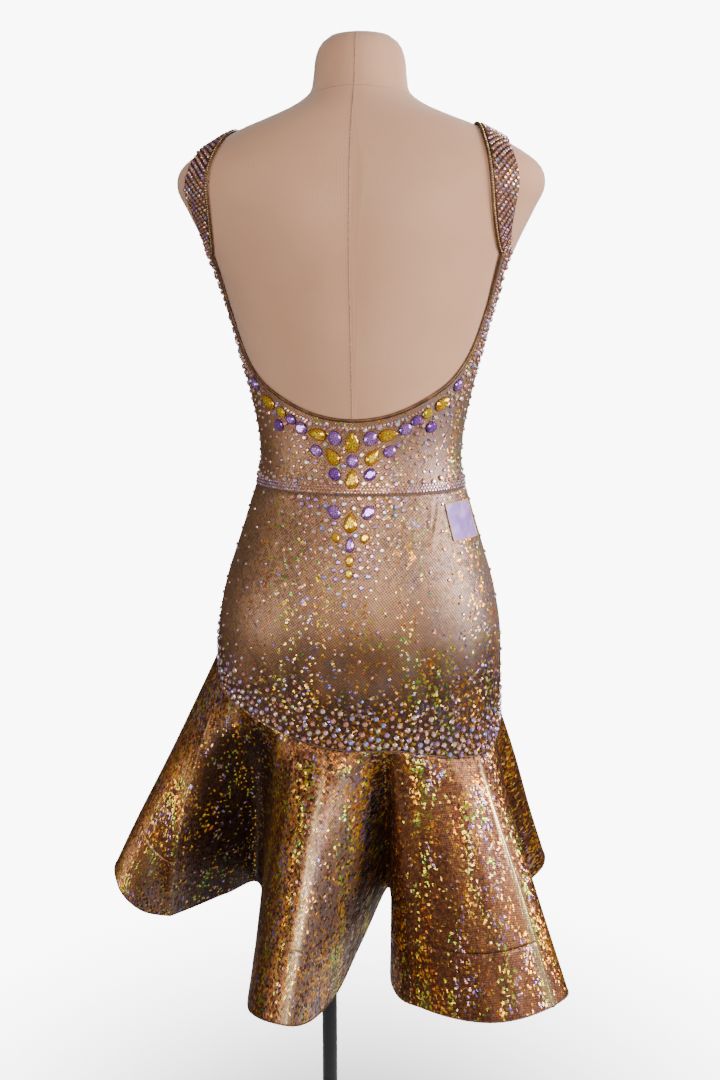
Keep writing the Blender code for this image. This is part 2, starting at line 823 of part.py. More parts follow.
def make_label(collection, material):
    grids = []
    for out in (LABEL_OUT + LABEL_THICKNESS, LABEL_OUT):
        grid = []
        for up in steps(-LABEL_HEIGHT / 2, LABEL_HEIGHT / 2, LABEL_FACES[1]):
            row = steps(-LABEL_WIDTH / 2, LABEL_WIDTH / 2, LABEL_FACES[0])
            grid.append([placed_on_cloth(LABEL_ANGLE, LABEL_MIDDLE, u, up, out) for u in row])
        grids.append(grid)
    piece = add_object("hip_label", wall_mesh("hip_label", *grids), collection, material)
    face_outward(piece)


# ---------------------------------------------------------------- the build

def start_empty():
    for old in list(bpy.data.objects):
        bpy.data.objects.remove(old, do_unlink=True)


def make_collection(name):
    collection = bpy.data.collections.new(name)
    bpy.context.scene.collection.children.link(collection)
    return collection


def main():
    start_empty()
    parts = make_collection(OBJECT_NAME)
    cutters = make_collection("cutters")
    linen = make_material("linen_cover", (0.62, 0.47, 0.37), 0.85, 0.0)
    metal = make_material("black_metal", (0.03, 0.03, 0.035), 0.4, 0.8)
    foil = make_material("foil_cloth", (0.33, 0.19, 0.10), 0.35, 0.6)
    brown = make_material("brown_binding", (0.20, 0.10, 0.05), 0.45, 0.2)
    film = make_material("label_film", (0.62, 0.50, 0.72), 0.3, 0.3)
    glass = make_material("cut_glass", (0.75, 0.55, 0.15), 0.1, 0.0)
    make_form(parts, linen)
    make_stand(parts, metal)
    raise_stones(make_bodice(parts, foil), BODICE_STONES, cutters, glass)
    make_straps(parts, foil)
    make_binding(parts, brown)
    raise_stones(make_skirt(parts, foil), SKIRT_STONES, cutters, glass)
    make_label(parts, film)
    make_flounce(parts, foil)


main()
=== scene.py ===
# %% [markdown]
# # A salsa dance dress on a dress form
#
# The dress is cut from bronze foil stretch cloth: a backless bodice, a fitted hip skirt and a
# full circular flounce. It is covered with sewn-on and glued stones and stands on a linen form.
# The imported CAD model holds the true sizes, so it is loaded first and never moved. Each piece
# here is made where the model has it, as a finer surface, and takes that solid's place.

import json
import math
from types import SimpleNamespace

import bmesh
import bpy
import numpy as np
from mathutils import kdtree
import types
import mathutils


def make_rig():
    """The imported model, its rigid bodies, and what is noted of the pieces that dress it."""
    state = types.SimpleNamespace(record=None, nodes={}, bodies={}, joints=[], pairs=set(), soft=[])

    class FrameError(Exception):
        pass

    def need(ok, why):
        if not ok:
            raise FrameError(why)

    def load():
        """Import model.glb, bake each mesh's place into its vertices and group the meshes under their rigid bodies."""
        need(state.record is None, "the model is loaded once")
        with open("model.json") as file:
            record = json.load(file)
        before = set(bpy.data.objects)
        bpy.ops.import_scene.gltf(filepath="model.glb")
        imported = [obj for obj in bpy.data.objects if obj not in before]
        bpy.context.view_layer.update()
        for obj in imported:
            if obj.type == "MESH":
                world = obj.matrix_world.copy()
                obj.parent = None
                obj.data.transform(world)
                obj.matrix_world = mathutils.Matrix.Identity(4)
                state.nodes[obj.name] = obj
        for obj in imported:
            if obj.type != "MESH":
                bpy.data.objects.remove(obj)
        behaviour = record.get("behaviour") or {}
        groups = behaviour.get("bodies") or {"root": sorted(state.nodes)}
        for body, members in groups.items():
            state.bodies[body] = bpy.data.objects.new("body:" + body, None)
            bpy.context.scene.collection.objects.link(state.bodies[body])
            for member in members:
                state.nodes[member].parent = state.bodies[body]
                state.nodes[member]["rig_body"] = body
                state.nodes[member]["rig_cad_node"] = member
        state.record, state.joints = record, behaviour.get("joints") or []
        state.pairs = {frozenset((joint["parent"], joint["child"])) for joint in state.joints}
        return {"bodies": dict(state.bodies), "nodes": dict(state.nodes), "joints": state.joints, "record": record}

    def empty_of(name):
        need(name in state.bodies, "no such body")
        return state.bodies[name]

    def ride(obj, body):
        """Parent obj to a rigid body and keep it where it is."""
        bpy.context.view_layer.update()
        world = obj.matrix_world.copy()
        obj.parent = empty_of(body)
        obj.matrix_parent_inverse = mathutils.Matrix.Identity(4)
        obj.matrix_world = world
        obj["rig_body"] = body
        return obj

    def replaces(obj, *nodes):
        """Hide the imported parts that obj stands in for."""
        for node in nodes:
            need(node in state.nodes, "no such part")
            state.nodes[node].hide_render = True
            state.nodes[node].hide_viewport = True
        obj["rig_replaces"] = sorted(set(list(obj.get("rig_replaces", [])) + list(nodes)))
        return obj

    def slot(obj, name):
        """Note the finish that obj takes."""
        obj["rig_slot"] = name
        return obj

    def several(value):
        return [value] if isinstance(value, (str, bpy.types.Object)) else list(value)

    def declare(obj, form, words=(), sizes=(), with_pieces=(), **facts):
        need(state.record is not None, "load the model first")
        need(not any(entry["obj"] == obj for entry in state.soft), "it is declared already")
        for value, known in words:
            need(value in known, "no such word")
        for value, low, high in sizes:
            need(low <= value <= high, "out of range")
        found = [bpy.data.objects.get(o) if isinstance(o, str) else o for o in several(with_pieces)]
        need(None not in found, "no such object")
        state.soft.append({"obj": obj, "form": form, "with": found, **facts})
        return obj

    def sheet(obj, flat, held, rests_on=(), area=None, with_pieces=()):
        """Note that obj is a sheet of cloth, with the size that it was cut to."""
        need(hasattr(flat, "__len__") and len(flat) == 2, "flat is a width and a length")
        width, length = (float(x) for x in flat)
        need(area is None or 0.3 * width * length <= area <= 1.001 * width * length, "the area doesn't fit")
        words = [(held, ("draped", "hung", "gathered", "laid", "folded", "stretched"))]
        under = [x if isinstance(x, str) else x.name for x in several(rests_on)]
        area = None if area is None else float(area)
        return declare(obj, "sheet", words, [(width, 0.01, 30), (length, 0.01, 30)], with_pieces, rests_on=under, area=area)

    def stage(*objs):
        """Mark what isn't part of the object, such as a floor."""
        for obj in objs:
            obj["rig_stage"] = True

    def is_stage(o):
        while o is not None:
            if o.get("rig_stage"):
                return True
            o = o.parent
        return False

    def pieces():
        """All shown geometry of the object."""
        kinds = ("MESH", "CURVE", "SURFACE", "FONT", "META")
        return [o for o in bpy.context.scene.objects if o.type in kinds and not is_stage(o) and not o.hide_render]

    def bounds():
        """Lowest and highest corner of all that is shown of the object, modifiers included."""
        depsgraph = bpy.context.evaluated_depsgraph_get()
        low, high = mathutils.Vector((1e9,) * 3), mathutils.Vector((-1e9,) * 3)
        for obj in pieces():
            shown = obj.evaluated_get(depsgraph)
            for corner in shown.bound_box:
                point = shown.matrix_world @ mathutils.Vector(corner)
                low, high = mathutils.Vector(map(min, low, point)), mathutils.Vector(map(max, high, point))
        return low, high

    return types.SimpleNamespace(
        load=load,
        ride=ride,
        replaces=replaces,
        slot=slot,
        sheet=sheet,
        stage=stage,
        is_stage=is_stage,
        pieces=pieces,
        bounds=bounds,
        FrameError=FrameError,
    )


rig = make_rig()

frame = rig.load()
cad_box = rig.bounds()
print("CAD box", [tuple(round(v, 3) for v in corner) for corner in cad_box])

# %% [markdown]
# ## The camera
#
# The dress is seen from behind, from a little above and from the wearer's right. A camera could
# be aimed at a point, but on a real stand one sets an angle round the dress, a distance, a
# height and a tip. Those four numbers and the lens place it here.

# %% Camera
CAMERA_ROUND = math.radians(186.5)
CAMERA_AWAY = 1.36
CAMERA_HEIGHT = 1.205
CAMERA_TIP = math.radians(11.4)
LENS = 37.67            # mm, on the 36 mm long side

camera = bpy.data.objects.new("camera", bpy.data.cameras.new("camera"))
bpy.context.scene.collection.objects.link(camera)
camera.data.lens = LENS
camera.location = (
    math.sin(CAMERA_ROUND) * CAMERA_AWAY, -math.cos(CAMERA_ROUND) * CAMERA_AWAY, CAMERA_HEIGHT
)
camera.rotation_euler = (math.pi / 2 - CAMERA_TIP, 0, CAMERA_ROUND)
bpy.context.scene.camera = camera
print("camera at", tuple(round(v, 3) for v in camera.location))

# %% [markdown]
# ## Floor and light
#
# A wide pale floor and a pale sky make a plain studio. Foil shows whatever it faces, so small
# hard lamps would leave dots on it. Square area lamps give the broad, gentle highlights of a
# room with a window: a large one at the wearer's right, weaker ones behind the camera and at the
# left, and one for views of the front.

# %% Floor
FLOOR_REACH = 30.0

floor_mesh = bpy.data.meshes.new("studio_floor")
floor_mesh.from_pydata([(x * FLOOR_REACH, y * FLOOR_REACH, 0)
                        for x, y in ((-1, -1), (1, -1), (1, 1), (-1, 1))], [], [(0, 1, 2, 3)])
floor = bpy.data.objects.new("studio_floor", floor_mesh)
bpy.context.scene.collection.objects.link(floor)
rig.stage(floor)
print("floor", 2 * FLOOR_REACH, "m wide")

# %% Lamps
LAMPS = (
    # name, place, aimed at, size, watts
    ("window_lamp", (-2.45, 0.62, 1.6), (0.0, 0.0, 0.95), 1.4, 134.0),
    ("soft_lamp", (-0.4, 2.6, 1.7), (0.0, 0.0, 1.0), 1.3, 60.0),
    ("side_lamp", (2.0, 1.6, 0.75), (0.2, 0.0, 0.5), 1.0, 27.0),
    ("far_lamp", (-0.8, -2.2, 1.9), (0.0, 0.0, 0.9), 1.3, 50.0),
)


def add_lamp(name, place, aim, size, watts):
    """A square soft lamp that faces a point."""
    light = bpy.data.lights.new(name, "AREA")
    light.size = size
    light.energy = watts
    lamp = bpy.data.objects.new(name, light)
    bpy.context.scene.collection.objects.link(lamp)
    lamp.location = place
    toward = type(lamp.location)(aim) - lamp.location
    lamp.rotation_euler = toward.to_track_quat("-Z", "Y").to_euler()


for lamp_row in LAMPS:
    add_lamp(*lamp_row)

print(len(LAMPS), "lamps")

# %% [markdown]
# The sky and every finish below are small trees of nodes. Joining nodes one by one takes many
# lines, so a helper adds a node and joins its inputs at once.

# %% Node helpers
def set_inputs(tree, node, inputs):
    """Give a node's inputs: each is a value or another node's output."""
    for name, value in inputs.items():
        if isinstance(value, bpy.types.NodeSocket):
            tree.links.new(value, node.inputs[name])
        else:
            node.inputs[name].default_value = value


def add_node(tree, kind, inputs=None, **properties):
    """A node with its properties and inputs set."""
    node = tree.nodes.new(kind)
    for name, value in properties.items():
        setattr(node, name, value)
    set_inputs(tree, node, inputs or {})
    return node


def spread(tree, value, low, high, new_low=0.0, new_high=1.0):
    """Stretch a value from one range to another."""
    return add_node(tree, "ShaderNodeMapRange", {
        "Value": value, "From Min": low, "From Max": high, "To Min": new_low, "To Max": new_high,
    }).outputs[0]


# %% Sky
SKY_SEEN = 9.0                      # how bright the sky looks
SKY_LOW, SKY_HIGH = 0.03, 0.16      # how much light it gives, from below and from above

sky = bpy.data.worlds.new("studio_sky")
bpy.context.scene.world = sky
sky.use_nodes = True
sky_way = add_node(sky.node_tree, "ShaderNodeTexCoord").outputs["Generated"]
sky_height = add_node(sky.node_tree, "ShaderNodeSeparateXYZ", {0: sky_way}).outputs[2]
sky_light = spread(sky.node_tree, sky_height, -0.4, 0.9, SKY_LOW, SKY_HIGH)
sky_seen = add_node(sky.node_tree, "ShaderNodeLightPath").outputs["Is Camera Ray"]
sky_strength = add_node(sky.node_tree, "ShaderNodeMath",
                        {0: sky_seen, 1: SKY_SEEN, 2: sky_light}, operation="MULTIPLY_ADD")
set_inputs(sky.node_tree, sky.node_tree.nodes["Background"],
           {"Color": (1, 1, 1, 1), "Strength": sky_strength.outputs[0]})
print("sky gives", SKY_LOW, "to", SKY_HIGH)

# %% [markdown]
# ## The body under the cloth
#
# A dress form could be sculpted, but a maker measures it: breadths and depths at set heights.
# Each level section here is a superellipse with a half breadth, a reach to the back and to the
# front, and how square it is. A smooth curve through each column gives every height in between,
# so one short table makes the whole torso, and the cloth can follow the same table.

# %% The form's measures
FORM_SECTIONS = np.array([
    # height, half breadth, back, front, fullness
    (0.775, 0.1700, 0.114, 0.100, 2.2),
    (0.800, 0.1720, 0.120, 0.101, 2.2),
    (0.840, 0.1690, 0.123, 0.103, 2.2),
    (0.885, 0.1600, 0.118, 0.103, 2.2),
    (0.930, 0.1465, 0.105, 0.100, 2.1),
    (0.976, 0.1320, 0.090, 0.094, 2.0),
    (1.020, 0.1205, 0.078, 0.089, 2.0),
    (1.050, 0.1195, 0.075, 0.088, 2.0),
    (1.092, 0.1260, 0.079, 0.092, 2.0),
    (1.149, 0.1390, 0.090, 0.102, 2.1),
    (1.205, 0.1530, 0.101, 0.114, 2.2),
    (1.250, 0.1680, 0.107, 0.116, 2.2),
    (1.287, 0.1840, 0.109, 0.110, 2.3),
    (1.320, 0.2000, 0.107, 0.102, 2.4),
    (1.345, 0.2110, 0.103, 0.094, 2.5),
    (1.368, 0.2030, 0.098, 0.086, 2.5),
    (1.394, 0.1640, 0.089, 0.074, 2.3),
    (1.408, 0.1370, 0.082, 0.067, 2.2),
    (1.421, 0.1040, 0.075, 0.062, 2.1),
    (1.433, 0.0770, 0.067, 0.058, 2.0),
    (1.447, 0.0580, 0.058, 0.056, 2.0),
    (1.463, 0.0535, 0.052, 0.054, 2.0),
    (1.485, 0.0510, 0.048, 0.052, 2.0),
    (1.500, 0.0450, 0.042, 0.046, 2.0),
    (1.508, 0.0350, 0.033, 0.036, 2.0),
])
FORM_BOTTOM, FORM_TOP = FORM_SECTIONS[0, 0], FORM_SECTIONS[-1, 0]
BUST_OUT, BUST_HEIGHT, BUST_RISE, BUST_SPREAD = 0.076, 1.235, 0.015, 0.054
HANG_FROM = 0.800       # below this height the skirt falls straight
HANG_BEND = 0.013       # metres of height over which it turns from the hips to straight

# %% The form's surface
def smooth_curve(xs, ys, x):
    """Values at x of a smooth curve through the points (xs, ys)."""
    slopes = np.empty(len(xs))
    slopes[1:-1] = (ys[2:] - ys[:-2]) / (xs[2:] - xs[:-2])
    slopes[0] = (ys[1] - ys[0]) / (xs[1] - xs[0])
    slopes[-1] = (ys[-1] - ys[-2]) / (xs[-1] - xs[-2])
    i = np.clip(np.searchsorted(xs, x, "right") - 1, 0, len(xs) - 2)
    span = xs[i + 1] - xs[i]
    t = np.clip((x - xs[i]) / span, 0, 1)
    start, end, rise = slopes[i] * span, slopes[i + 1] * span, ys[i + 1] - ys[i]
    return ys[i] + t * (start + t * ((3 * rise - 2 * start - end) + t * (start + end - 2 * rise)))


def form_measure(column, z):
    return smooth_curve(FORM_SECTIONS[:, 0], FORM_SECTIONS[:, column], z)


def bust_rise(x, z):
    away = np.hypot(np.abs(x) - BUST_OUT, z - BUST_HEIGHT) / BUST_SPREAD
    return BUST_RISE * np.exp(-away * away)


def form_at(angle, z, level=None):
    """Points of the form: angle 0 is the centre back, 90 the wearer's left, 180 the front."""
    angle, z = np.broadcast_arrays(np.asarray(angle, float), np.asarray(z, float))
    level = z if level is None else np.broadcast_to(level, z.shape)
    half, back, front, fullness = (form_measure(column, level) for column in (1, 2, 3, 4))
    side, ahead = np.sin(np.radians(angle)), np.cos(np.radians(angle))
    x = half * np.sign(side) * np.abs(side) ** (2 / fullness)
    reach = np.sign(ahead) * np.abs(ahead) ** (2 / fullness)
    depth = (back + front) / 2 + np.where(reach < 0, bust_rise(x, level), 0.0)
    return np.stack([x, (back - front) / 2 + depth * reach, z], axis=-1)


def body_at(angle, z):
    """The form, but straight down below the hips: what the skirt follows."""
    over = (np.asarray(z, float) - HANG_FROM) / HANG_BEND
    return form_at(angle, z, HANG_FROM + HANG_BEND * np.logaddexp(0.0, over))


print("form from", FORM_BOTTOM, "to", FORM_TOP, "m")

# %% [markdown]
# ## The cloth's surface
#
# Stretch cloth lies a hair above the form. It could be shrink-wrapped on with a modifier, but
# then no other piece could ask where the cloth is. A function gives each point instead: the
# form's point, moved along its outward direction, which comes from two small steps along the
# surface and up it. Stones, stitches and label all call the same function.

# %% Cloth over the form
CLOTH_OUT = 0.0029      # the cloth's outer face above the form
CLOTH_THICKNESS = 0.0009
WAIST_SEAM = 1.000
SIDE_SEAM = 90.0


def unit(vectors):
    return vectors / np.linalg.norm(vectors, axis=-1, keepdims=True)


def signed(angle):
    """The same angle, from -180 to 180 degrees."""
    return (angle + 180) % 360 - 180


def outward(surface, u, v, du, dv):
    """Outward direction of a surface of two values, the first running round the body."""
    along = surface(u + du, v) - surface(u - du, v)
    up = surface(u, v + dv) - surface(u, v - dv)
    return unit(np.cross(up, along))


def cloth_direction(angle, z):
    return outward(body_at, angle, z, 0.5, 0.002)


def cloth_at(angle, z, out):
    """Points at these heights, a distance out from the body."""
    angle, z, out = np.broadcast_arrays(
        np.asarray(angle, float), np.asarray(z, float), np.asarray(out, float)
    )
    level = cloth_direction(angle, z) * (1.0, 1.0, 0.0)
    return body_at(angle, z) + level * (out / (level ** 2).sum(-1))[..., None]


# %% [markdown]
# Fitted cloth is smooth but for a few soft creases, where it strains: beside the hip label, at
# the waist, under the arms. They could come from a cloth simulation, but that gives a stretch
# dress more of them than it has. Each is placed as a soft ridge or trough on a line.

# %% Creases
CREASES = (
    # from angle and height, to angle and height, half width, rise
    (-49.5, 0.990, -38.5, 0.941, 0.0022, 0.0016),
    (-44.5, 0.991, -37.5, 0.944, 0.0020, 0.0014),
    (-47.0, 0.989, -38.0, 0.950, 0.0018, -0.0010),
    (-84.0, 0.994, -70.0, 0.990, 0.0025, 0.0009),
    (68.0, 0.990, 88.0, 0.978, 0.0040, 0.0009),
    (62.0, 0.978, 86.0, 0.962, 0.0045, 0.0007),
    (-66.0, 1.012, -92.0, 1.024, 0.0045, 0.0008),
    (64.0, 1.014, 94.0, 1.026, 0.0045, 0.0009),
    (70.0, 1.036, 96.0, 1.052, 0.0060, 0.0008),
    (-72.0, 1.040, -98.0, 1.056, 0.0060, 0.0008),
    (100.0, 1.220, 122.0, 1.205, 0.0060, 0.0012),
    (-100.0, 1.220, -124.0, 1.202, 0.0060, 0.0012),
    (104.0, 1.200, 124.0, 1.186, 0.0060, 0.0009),
    (-103.0, 1.198, -126.0, 1.184, 0.0060, 0.0009),
    (150.0, 0.986, 205.0, 0.982, 0.0050, 0.0008),
    (128.0, 0.890, 165.0, 0.870, 0.0080, 0.0008),
    (232.0, 0.895, 196.0, 0.868, 0.0080, 0.0008),
)
METRES_A_DEGREE = 0.0023    # round the hips and waist, near enough for a crease


def crease_rise(angle, z):
    """How far the creases lift the cloth."""
    rise = np.zeros(np.broadcast(angle, z).shape)
    for angle_a, z_a, angle_b, z_b, width, height in CREASES:
        across = signed(angle - angle_a) * METRES_A_DEGREE
        up = z - z_a
        run = np.array(((angle_b - angle_a) * METRES_A_DEGREE, z_b - z_a))
        t = np.clip((across * run[0] + up * run[1]) / (run @ run), 0, 1)
        away = np.hypot(across - t * run[0], up - t * run[1])
        rise = rise + height * np.exp(-((away / width) ** 2)) * np.sin(np.pi * (0.15 + 0.7 * t))
    return rise


def worn_cloth_at(angle, z, out=0.0):
    """The cloth's outer face with its creases, or a distance out from it."""
    return cloth_at(angle, z, CLOTH_OUT + out + crease_rise(angle, z))


print(len(CREASES), "creases")

# %% [markdown]
# ## From a grid of points to a piece
#
# Most pieces are a grid of points that a function gives, since numbers keep each seam where it
# belongs. The grid becomes quads, a UV map in metres carries the weave along the cloth, and a
# Solidify modifier gives a sheet its thickness on the inner side, so its edges look like cloth.

# %% Mesh helpers
def steps(start, end, count):
    return np.linspace(start, end, count + 1)


def edge_steps(length, step, fine=(0.0, 0.0005, 0.0011, 0.0018, 0.0028, 0.0045)):
    """Places from 0 to length: close together near both ends, where an edge is turned in."""
    middle = np.linspace(fine[-1], length - fine[-1], max(int(length / step), 2) + 1)
    return np.concatenate([fine[:-1], middle, length - np.array(fine[-2::-1])])


def in_collection(name, mesh):
    piece = bpy.data.objects.new(name, mesh)
    bpy.context.scene.collection.objects.link(piece)
    return piece

# %% What each piece says
def dress_piece(piece, material, slot="", *nodes):
    """Material, body, slot and the solids that the piece stands for."""
    piece.data.materials.append(material)
    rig.ride(piece, "root")
    if slot:
        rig.slot(piece, slot)
    if nodes:
        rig.replaces(piece, *nodes)
    return piece

# %% Grids and meshes
def mesh_of(name, points, faces, uv=None, smooth=True):
    """Mesh of points and faces; uv holds one pair of metres for each point."""
    mesh = bpy.data.meshes.new(name)
    mesh.from_pydata(points.tolist(), [], faces.tolist() if hasattr(faces, "tolist") else faces)
    if uv is not None:
        layer = mesh.uv_layers.new(name="cloth")
        corners = np.empty(len(mesh.loops), int)
        mesh.loops.foreach_get("vertex_index", corners)
        layer.data.foreach_set("uv", uv[corners].ravel())
    mesh.polygons.foreach_set("use_smooth", np.full(len(mesh.polygons), smooth))
    mesh.update()
    return mesh


def grid_faces(rows, columns, closed=False):
    """Quads of a grid; a closed grid joins its last column to its first."""
    r, c = np.meshgrid(np.arange(rows - 1), np.arange(columns if closed else columns - 1),
                       indexing="ij")
    n = (c + 1) % columns
    quads = [r * columns + c, r * columns + n, (r + 1) * columns + n, (r + 1) * columns + c]
    return np.stack(quads, axis=-1).reshape(-1, 4)


def facing(points, faces, directions):
    """The same faces, turned so that they face along the points' outward directions."""
    corners = points[faces]
    normals = np.cross(corners[:, 2] - corners[:, 0], corners[:, 3] - corners[:, 1])
    meant = directions[faces].mean(axis=1)
    return faces if (normals * meant).sum() > 0 else faces[:, ::-1]

# %% Sheets of cloth
def cloth_piece(name, mesh, material, slot, *nodes):
    """A sheet of cloth from the mesh of its outer face, thickened inward."""
    piece = in_collection(name, mesh)
    thick = piece.modifiers.new("thickness", "SOLIDIFY")
    thick.thickness = CLOTH_THICKNESS
    thick.offset = -1
    print(f"{name}: {len(mesh.polygons)} faces")
    return dress_piece(piece, material, slot, *nodes)


def sheet_piece(name, grid, directions, uv, material, slot, *nodes):
    """A sheet of cloth from a grid of outer points."""
    points, directions = grid.reshape(-1, 3), directions.reshape(-1, 3)
    faces = facing(points, grid_faces(*grid.shape[:2]), directions)
    mesh = mesh_of(name, points, faces, uv.reshape(-1, 2))
    return cloth_piece(name, mesh, material, slot, *nodes)


def area_of(piece):
    """Area of a sheet's outer face in square metres."""
    return sum(polygon.area for polygon in piece.data.polygons)

# %% Paths and cords
def run_along(path):
    """Length along a path of points, from its first point."""
    return np.concatenate([[0.0], np.cumsum(np.linalg.norm(np.diff(path, axis=0), axis=-1))])


def along_path(at, run, values):
    """Points or directions at these lengths along a path."""
    return np.column_stack([np.interp(at, run, column) for column in values.T])


def tube_along(path, directions, width, height, sides=8, closed=True):
    """Points and faces of a flattened round cord along a path."""
    after, before = np.roll(path, -1, axis=0), np.roll(path, 1, axis=0)
    if not closed:
        after[-1], before[0] = path[-1], path[0]
    across = unit(np.cross(unit(after - before), directions))
    turns = np.arange(sides) * 2 * np.pi / sides
    ring = (across[:, None] * (np.cos(turns)[None, :, None] * width / 2)
            + directions[:, None] * (np.sin(turns)[None, :, None] * height / 2))
    points = (path[:, None] + ring).reshape(-1, 3)
    count = len(path)
    rings = np.arange(count + closed) % count
    faces = []
    for a, b in zip(rings[:-1], rings[1:]):
        for k in range(sides):
            n = (k + 1) % sides
            faces.append((a * sides + k, a * sides + n, b * sides + n, b * sides + k))
    if not closed:
        faces.append(tuple(range(sides)))
        faces.append(tuple(reversed(range((count - 1) * sides, count * sides))))
    return points, faces


def cord_piece(name, path, directions, width, height, material, slot="", closed=True):
    """A six-sided cord along a path, as a piece of its own."""
    points, faces = tube_along(path, directions, width, height, 6, closed)
    return dress_piece(in_collection(name, mesh_of(name, points, faces)), material, slot)

# %% [markdown]
# ## Finishes
#
# Image textures would have to be drawn, would repeat, and would blur close up. Every finish here
# is worked out from noise, waves and cells instead, in metres of the cloth or of the object, so
# it stays sharp at any distance.

# %% Finish helpers
def new_finish(name):
    """A material with its tree and its shader."""
    material = bpy.data.materials.new(name)
    material.use_nodes = True
    return material, material.node_tree, material.node_tree.nodes["Principled BSDF"]


def ramp(tree, value, stops, interpolation="LINEAR"):
    """Colours along a value from 0 to 1; stops are (place, red, green, blue)."""
    made = add_node(tree, "ShaderNodeValToRGB", {"Fac": value})
    band = made.color_ramp
    band.interpolation = interpolation
    while len(band.elements) < len(stops):
        band.elements.new(0.5)
    for element, (place, *colour) in zip(band.elements, stops):
        element.position = place
        element.color = (*colour, 1.0)
    return made.outputs["Color"]


def object_place(tree):
    """Metres of the object."""
    return add_node(tree, "ShaderNodeTexCoord").outputs["Object"]


def cloth_metres(tree):
    """Metres along and up a sheet, from its UV map."""
    return add_node(tree, "ShaderNodeUVMap", uv_map="cloth").outputs["UV"]


def sum_of(tree, a, b, operation="ADD"):
    return add_node(tree, "ShaderNodeMath", {0: a, 1: b}, operation=operation).outputs[0]


def blended(tree, share, a, b):
    """Colours a and b mixed; a share of 1 is all b."""
    a, b = ((*value, 1.0) if isinstance(value, tuple) else value for value in (a, b))
    return add_node(tree, "ShaderNodeMix", {0: share, 6: a, 7: b}, data_type="RGBA").outputs[2]


def noise(tree, place, scale, detail, rough=0.5, flat=False):
    """Cloudy noise; output 0 is its value and output 1 its colour."""
    return add_node(tree, "ShaderNodeTexNoise", {
        "Vector": place, "Scale": scale, "Detail": detail, "Roughness": rough,
    }, noise_dimensions="2D" if flat else "3D").outputs

# %% [markdown]
# ### Foil cloth
#
# The real cloth is a brown knit with a bronze foil printed on it as fine slanting dots. The foil
# is embossed with a pattern of small shards, which break light into colours. One texture could
# only be the cloth at one moment: from another side other shards flash. So the parts are made
# apart. A Voronoi texture makes the shards, each with its own tone and its own tip; a few of
# them are bright and coloured, more of them where the cloth faces the light; and a regular
# Voronoi makes the dots.

# %% Foil colours
DARK_BROWN, RED_BROWN = (0.020, 0.006, 0.003), (0.130, 0.034, 0.010)
GOLD_BROWN, LIGHT_GOLD = (0.290, 0.105, 0.032), (0.480, 0.220, 0.085)
# The peach is a painted sheen on the calm fitted cloth; the lilac-grey is a painted reflection where the cloth faces
# the light.
PEACH_SHEEN, LILAC_GREY_REFLECTION = (0.510, 0.296, 0.178), (0.300, 0.215, 0.195)
CREST_HIGHLIGHT = (1.00, 0.70, 0.34)     # painted highlight along a sharp crease, where the foil is also smoother
SPECKLE = (
    # tone of the shard, red, green, blue
    (0.1, 0.40, 0.115, 0.030), (0.8, 0.54, 0.250, 0.065),
)
RAINBOW = (
    # turn of the colour, red, green, blue
    (0.00, 1.00, 0.48, 0.020), (0.20, 0.86, 0.17, 0.012), (0.32, 1.00, 0.56, 0.040),
    (0.48, 0.70, 0.62, 0.030), (0.58, 0.20, 0.50, 0.070), (0.68, 1.00, 0.62, 0.110),
    (0.80, 0.26, 0.20, 0.640), (0.90, 0.90, 0.42, 0.300),
)
STREAKS = (
    # place in the slow noise, red, green, blue
    (0.26, *DARK_BROWN), (0.40, *RED_BROWN), (0.58, *GOLD_BROWN), (0.80, *LIGHT_GOLD),
)
print(len(RAINBOW), "flash colours")

# %% [markdown]
# First the recipe finds out where it is. Each place of the cloth knows its shard, three slow
# noises that streak and cluster the print, how far it faces the light side or the floor, and the
# values stored on the flounce's points for the painted highlight along its sharp creases and the painted shade in its
# hollows.

# %% Where the foil is
SHARD_BEND = 0.0028                 # how far the shards' straight sides are bent
LIGHT_SIDE = (-0.90, 0.35, 0.10)     # cloth that faces this way, towards the window lamp, gets a painted lilac-grey reflection and more flashes
LOW_SKIRT_SHADE = (0.838, 0.775)          # painted shade: the fitted cloth darkens down between these heights
LOW_UNEVEN = 0.026                  # metres by which that edge wavers
RED_SIDE = (0.00, -0.11)            # between these x the flounce's print turns redder


def made_vector(tree, operation, *inputs):
    return add_node(tree, "ShaderNodeVectorMath", dict(enumerate(inputs)),
                    operation=operation).outputs[0]


def product(tree, a, b):
    return sum_of(tree, a, b, "MULTIPLY")


def facing_share(tree, direction):
    """How far the cloth faces a direction, from -1 to 1."""
    normal = add_node(tree, "ShaderNodeNewGeometry").outputs["Normal"]
    return add_node(tree, "ShaderNodeVectorMath", {0: normal, 1: direction},
                    operation="DOT_PRODUCT").outputs["Value"]


def painted(tree, attribute):
    """A value that a mesh carries on its points; 0 where it has none."""
    return add_node(tree, "ShaderNodeAttribute", attribute_name=attribute).outputs["Fac"]


def parts_of(tree, colour):
    return add_node(tree, "ShaderNodeSeparateColor", {"Color": colour}).outputs

# %% What the recipe knows of a place
def foil_shards(tree, place, size):
    """Angular cells, metres across, each with a random colour of its own."""
    warp = noise(tree, place, 260.0, 1.0, flat=True)[1]
    warped = add_node(tree, "ShaderNodeMix", {0: SHARD_BEND, 4: place, 5: warp},
                      data_type="VECTOR")
    return add_node(tree, "ShaderNodeTexVoronoi",
                    {"Vector": warped.outputs[1], "Scale": 1 / size, "Randomness": 1.0},
                    voronoi_dimensions="2D", distance="CHEBYCHEV").outputs["Color"]


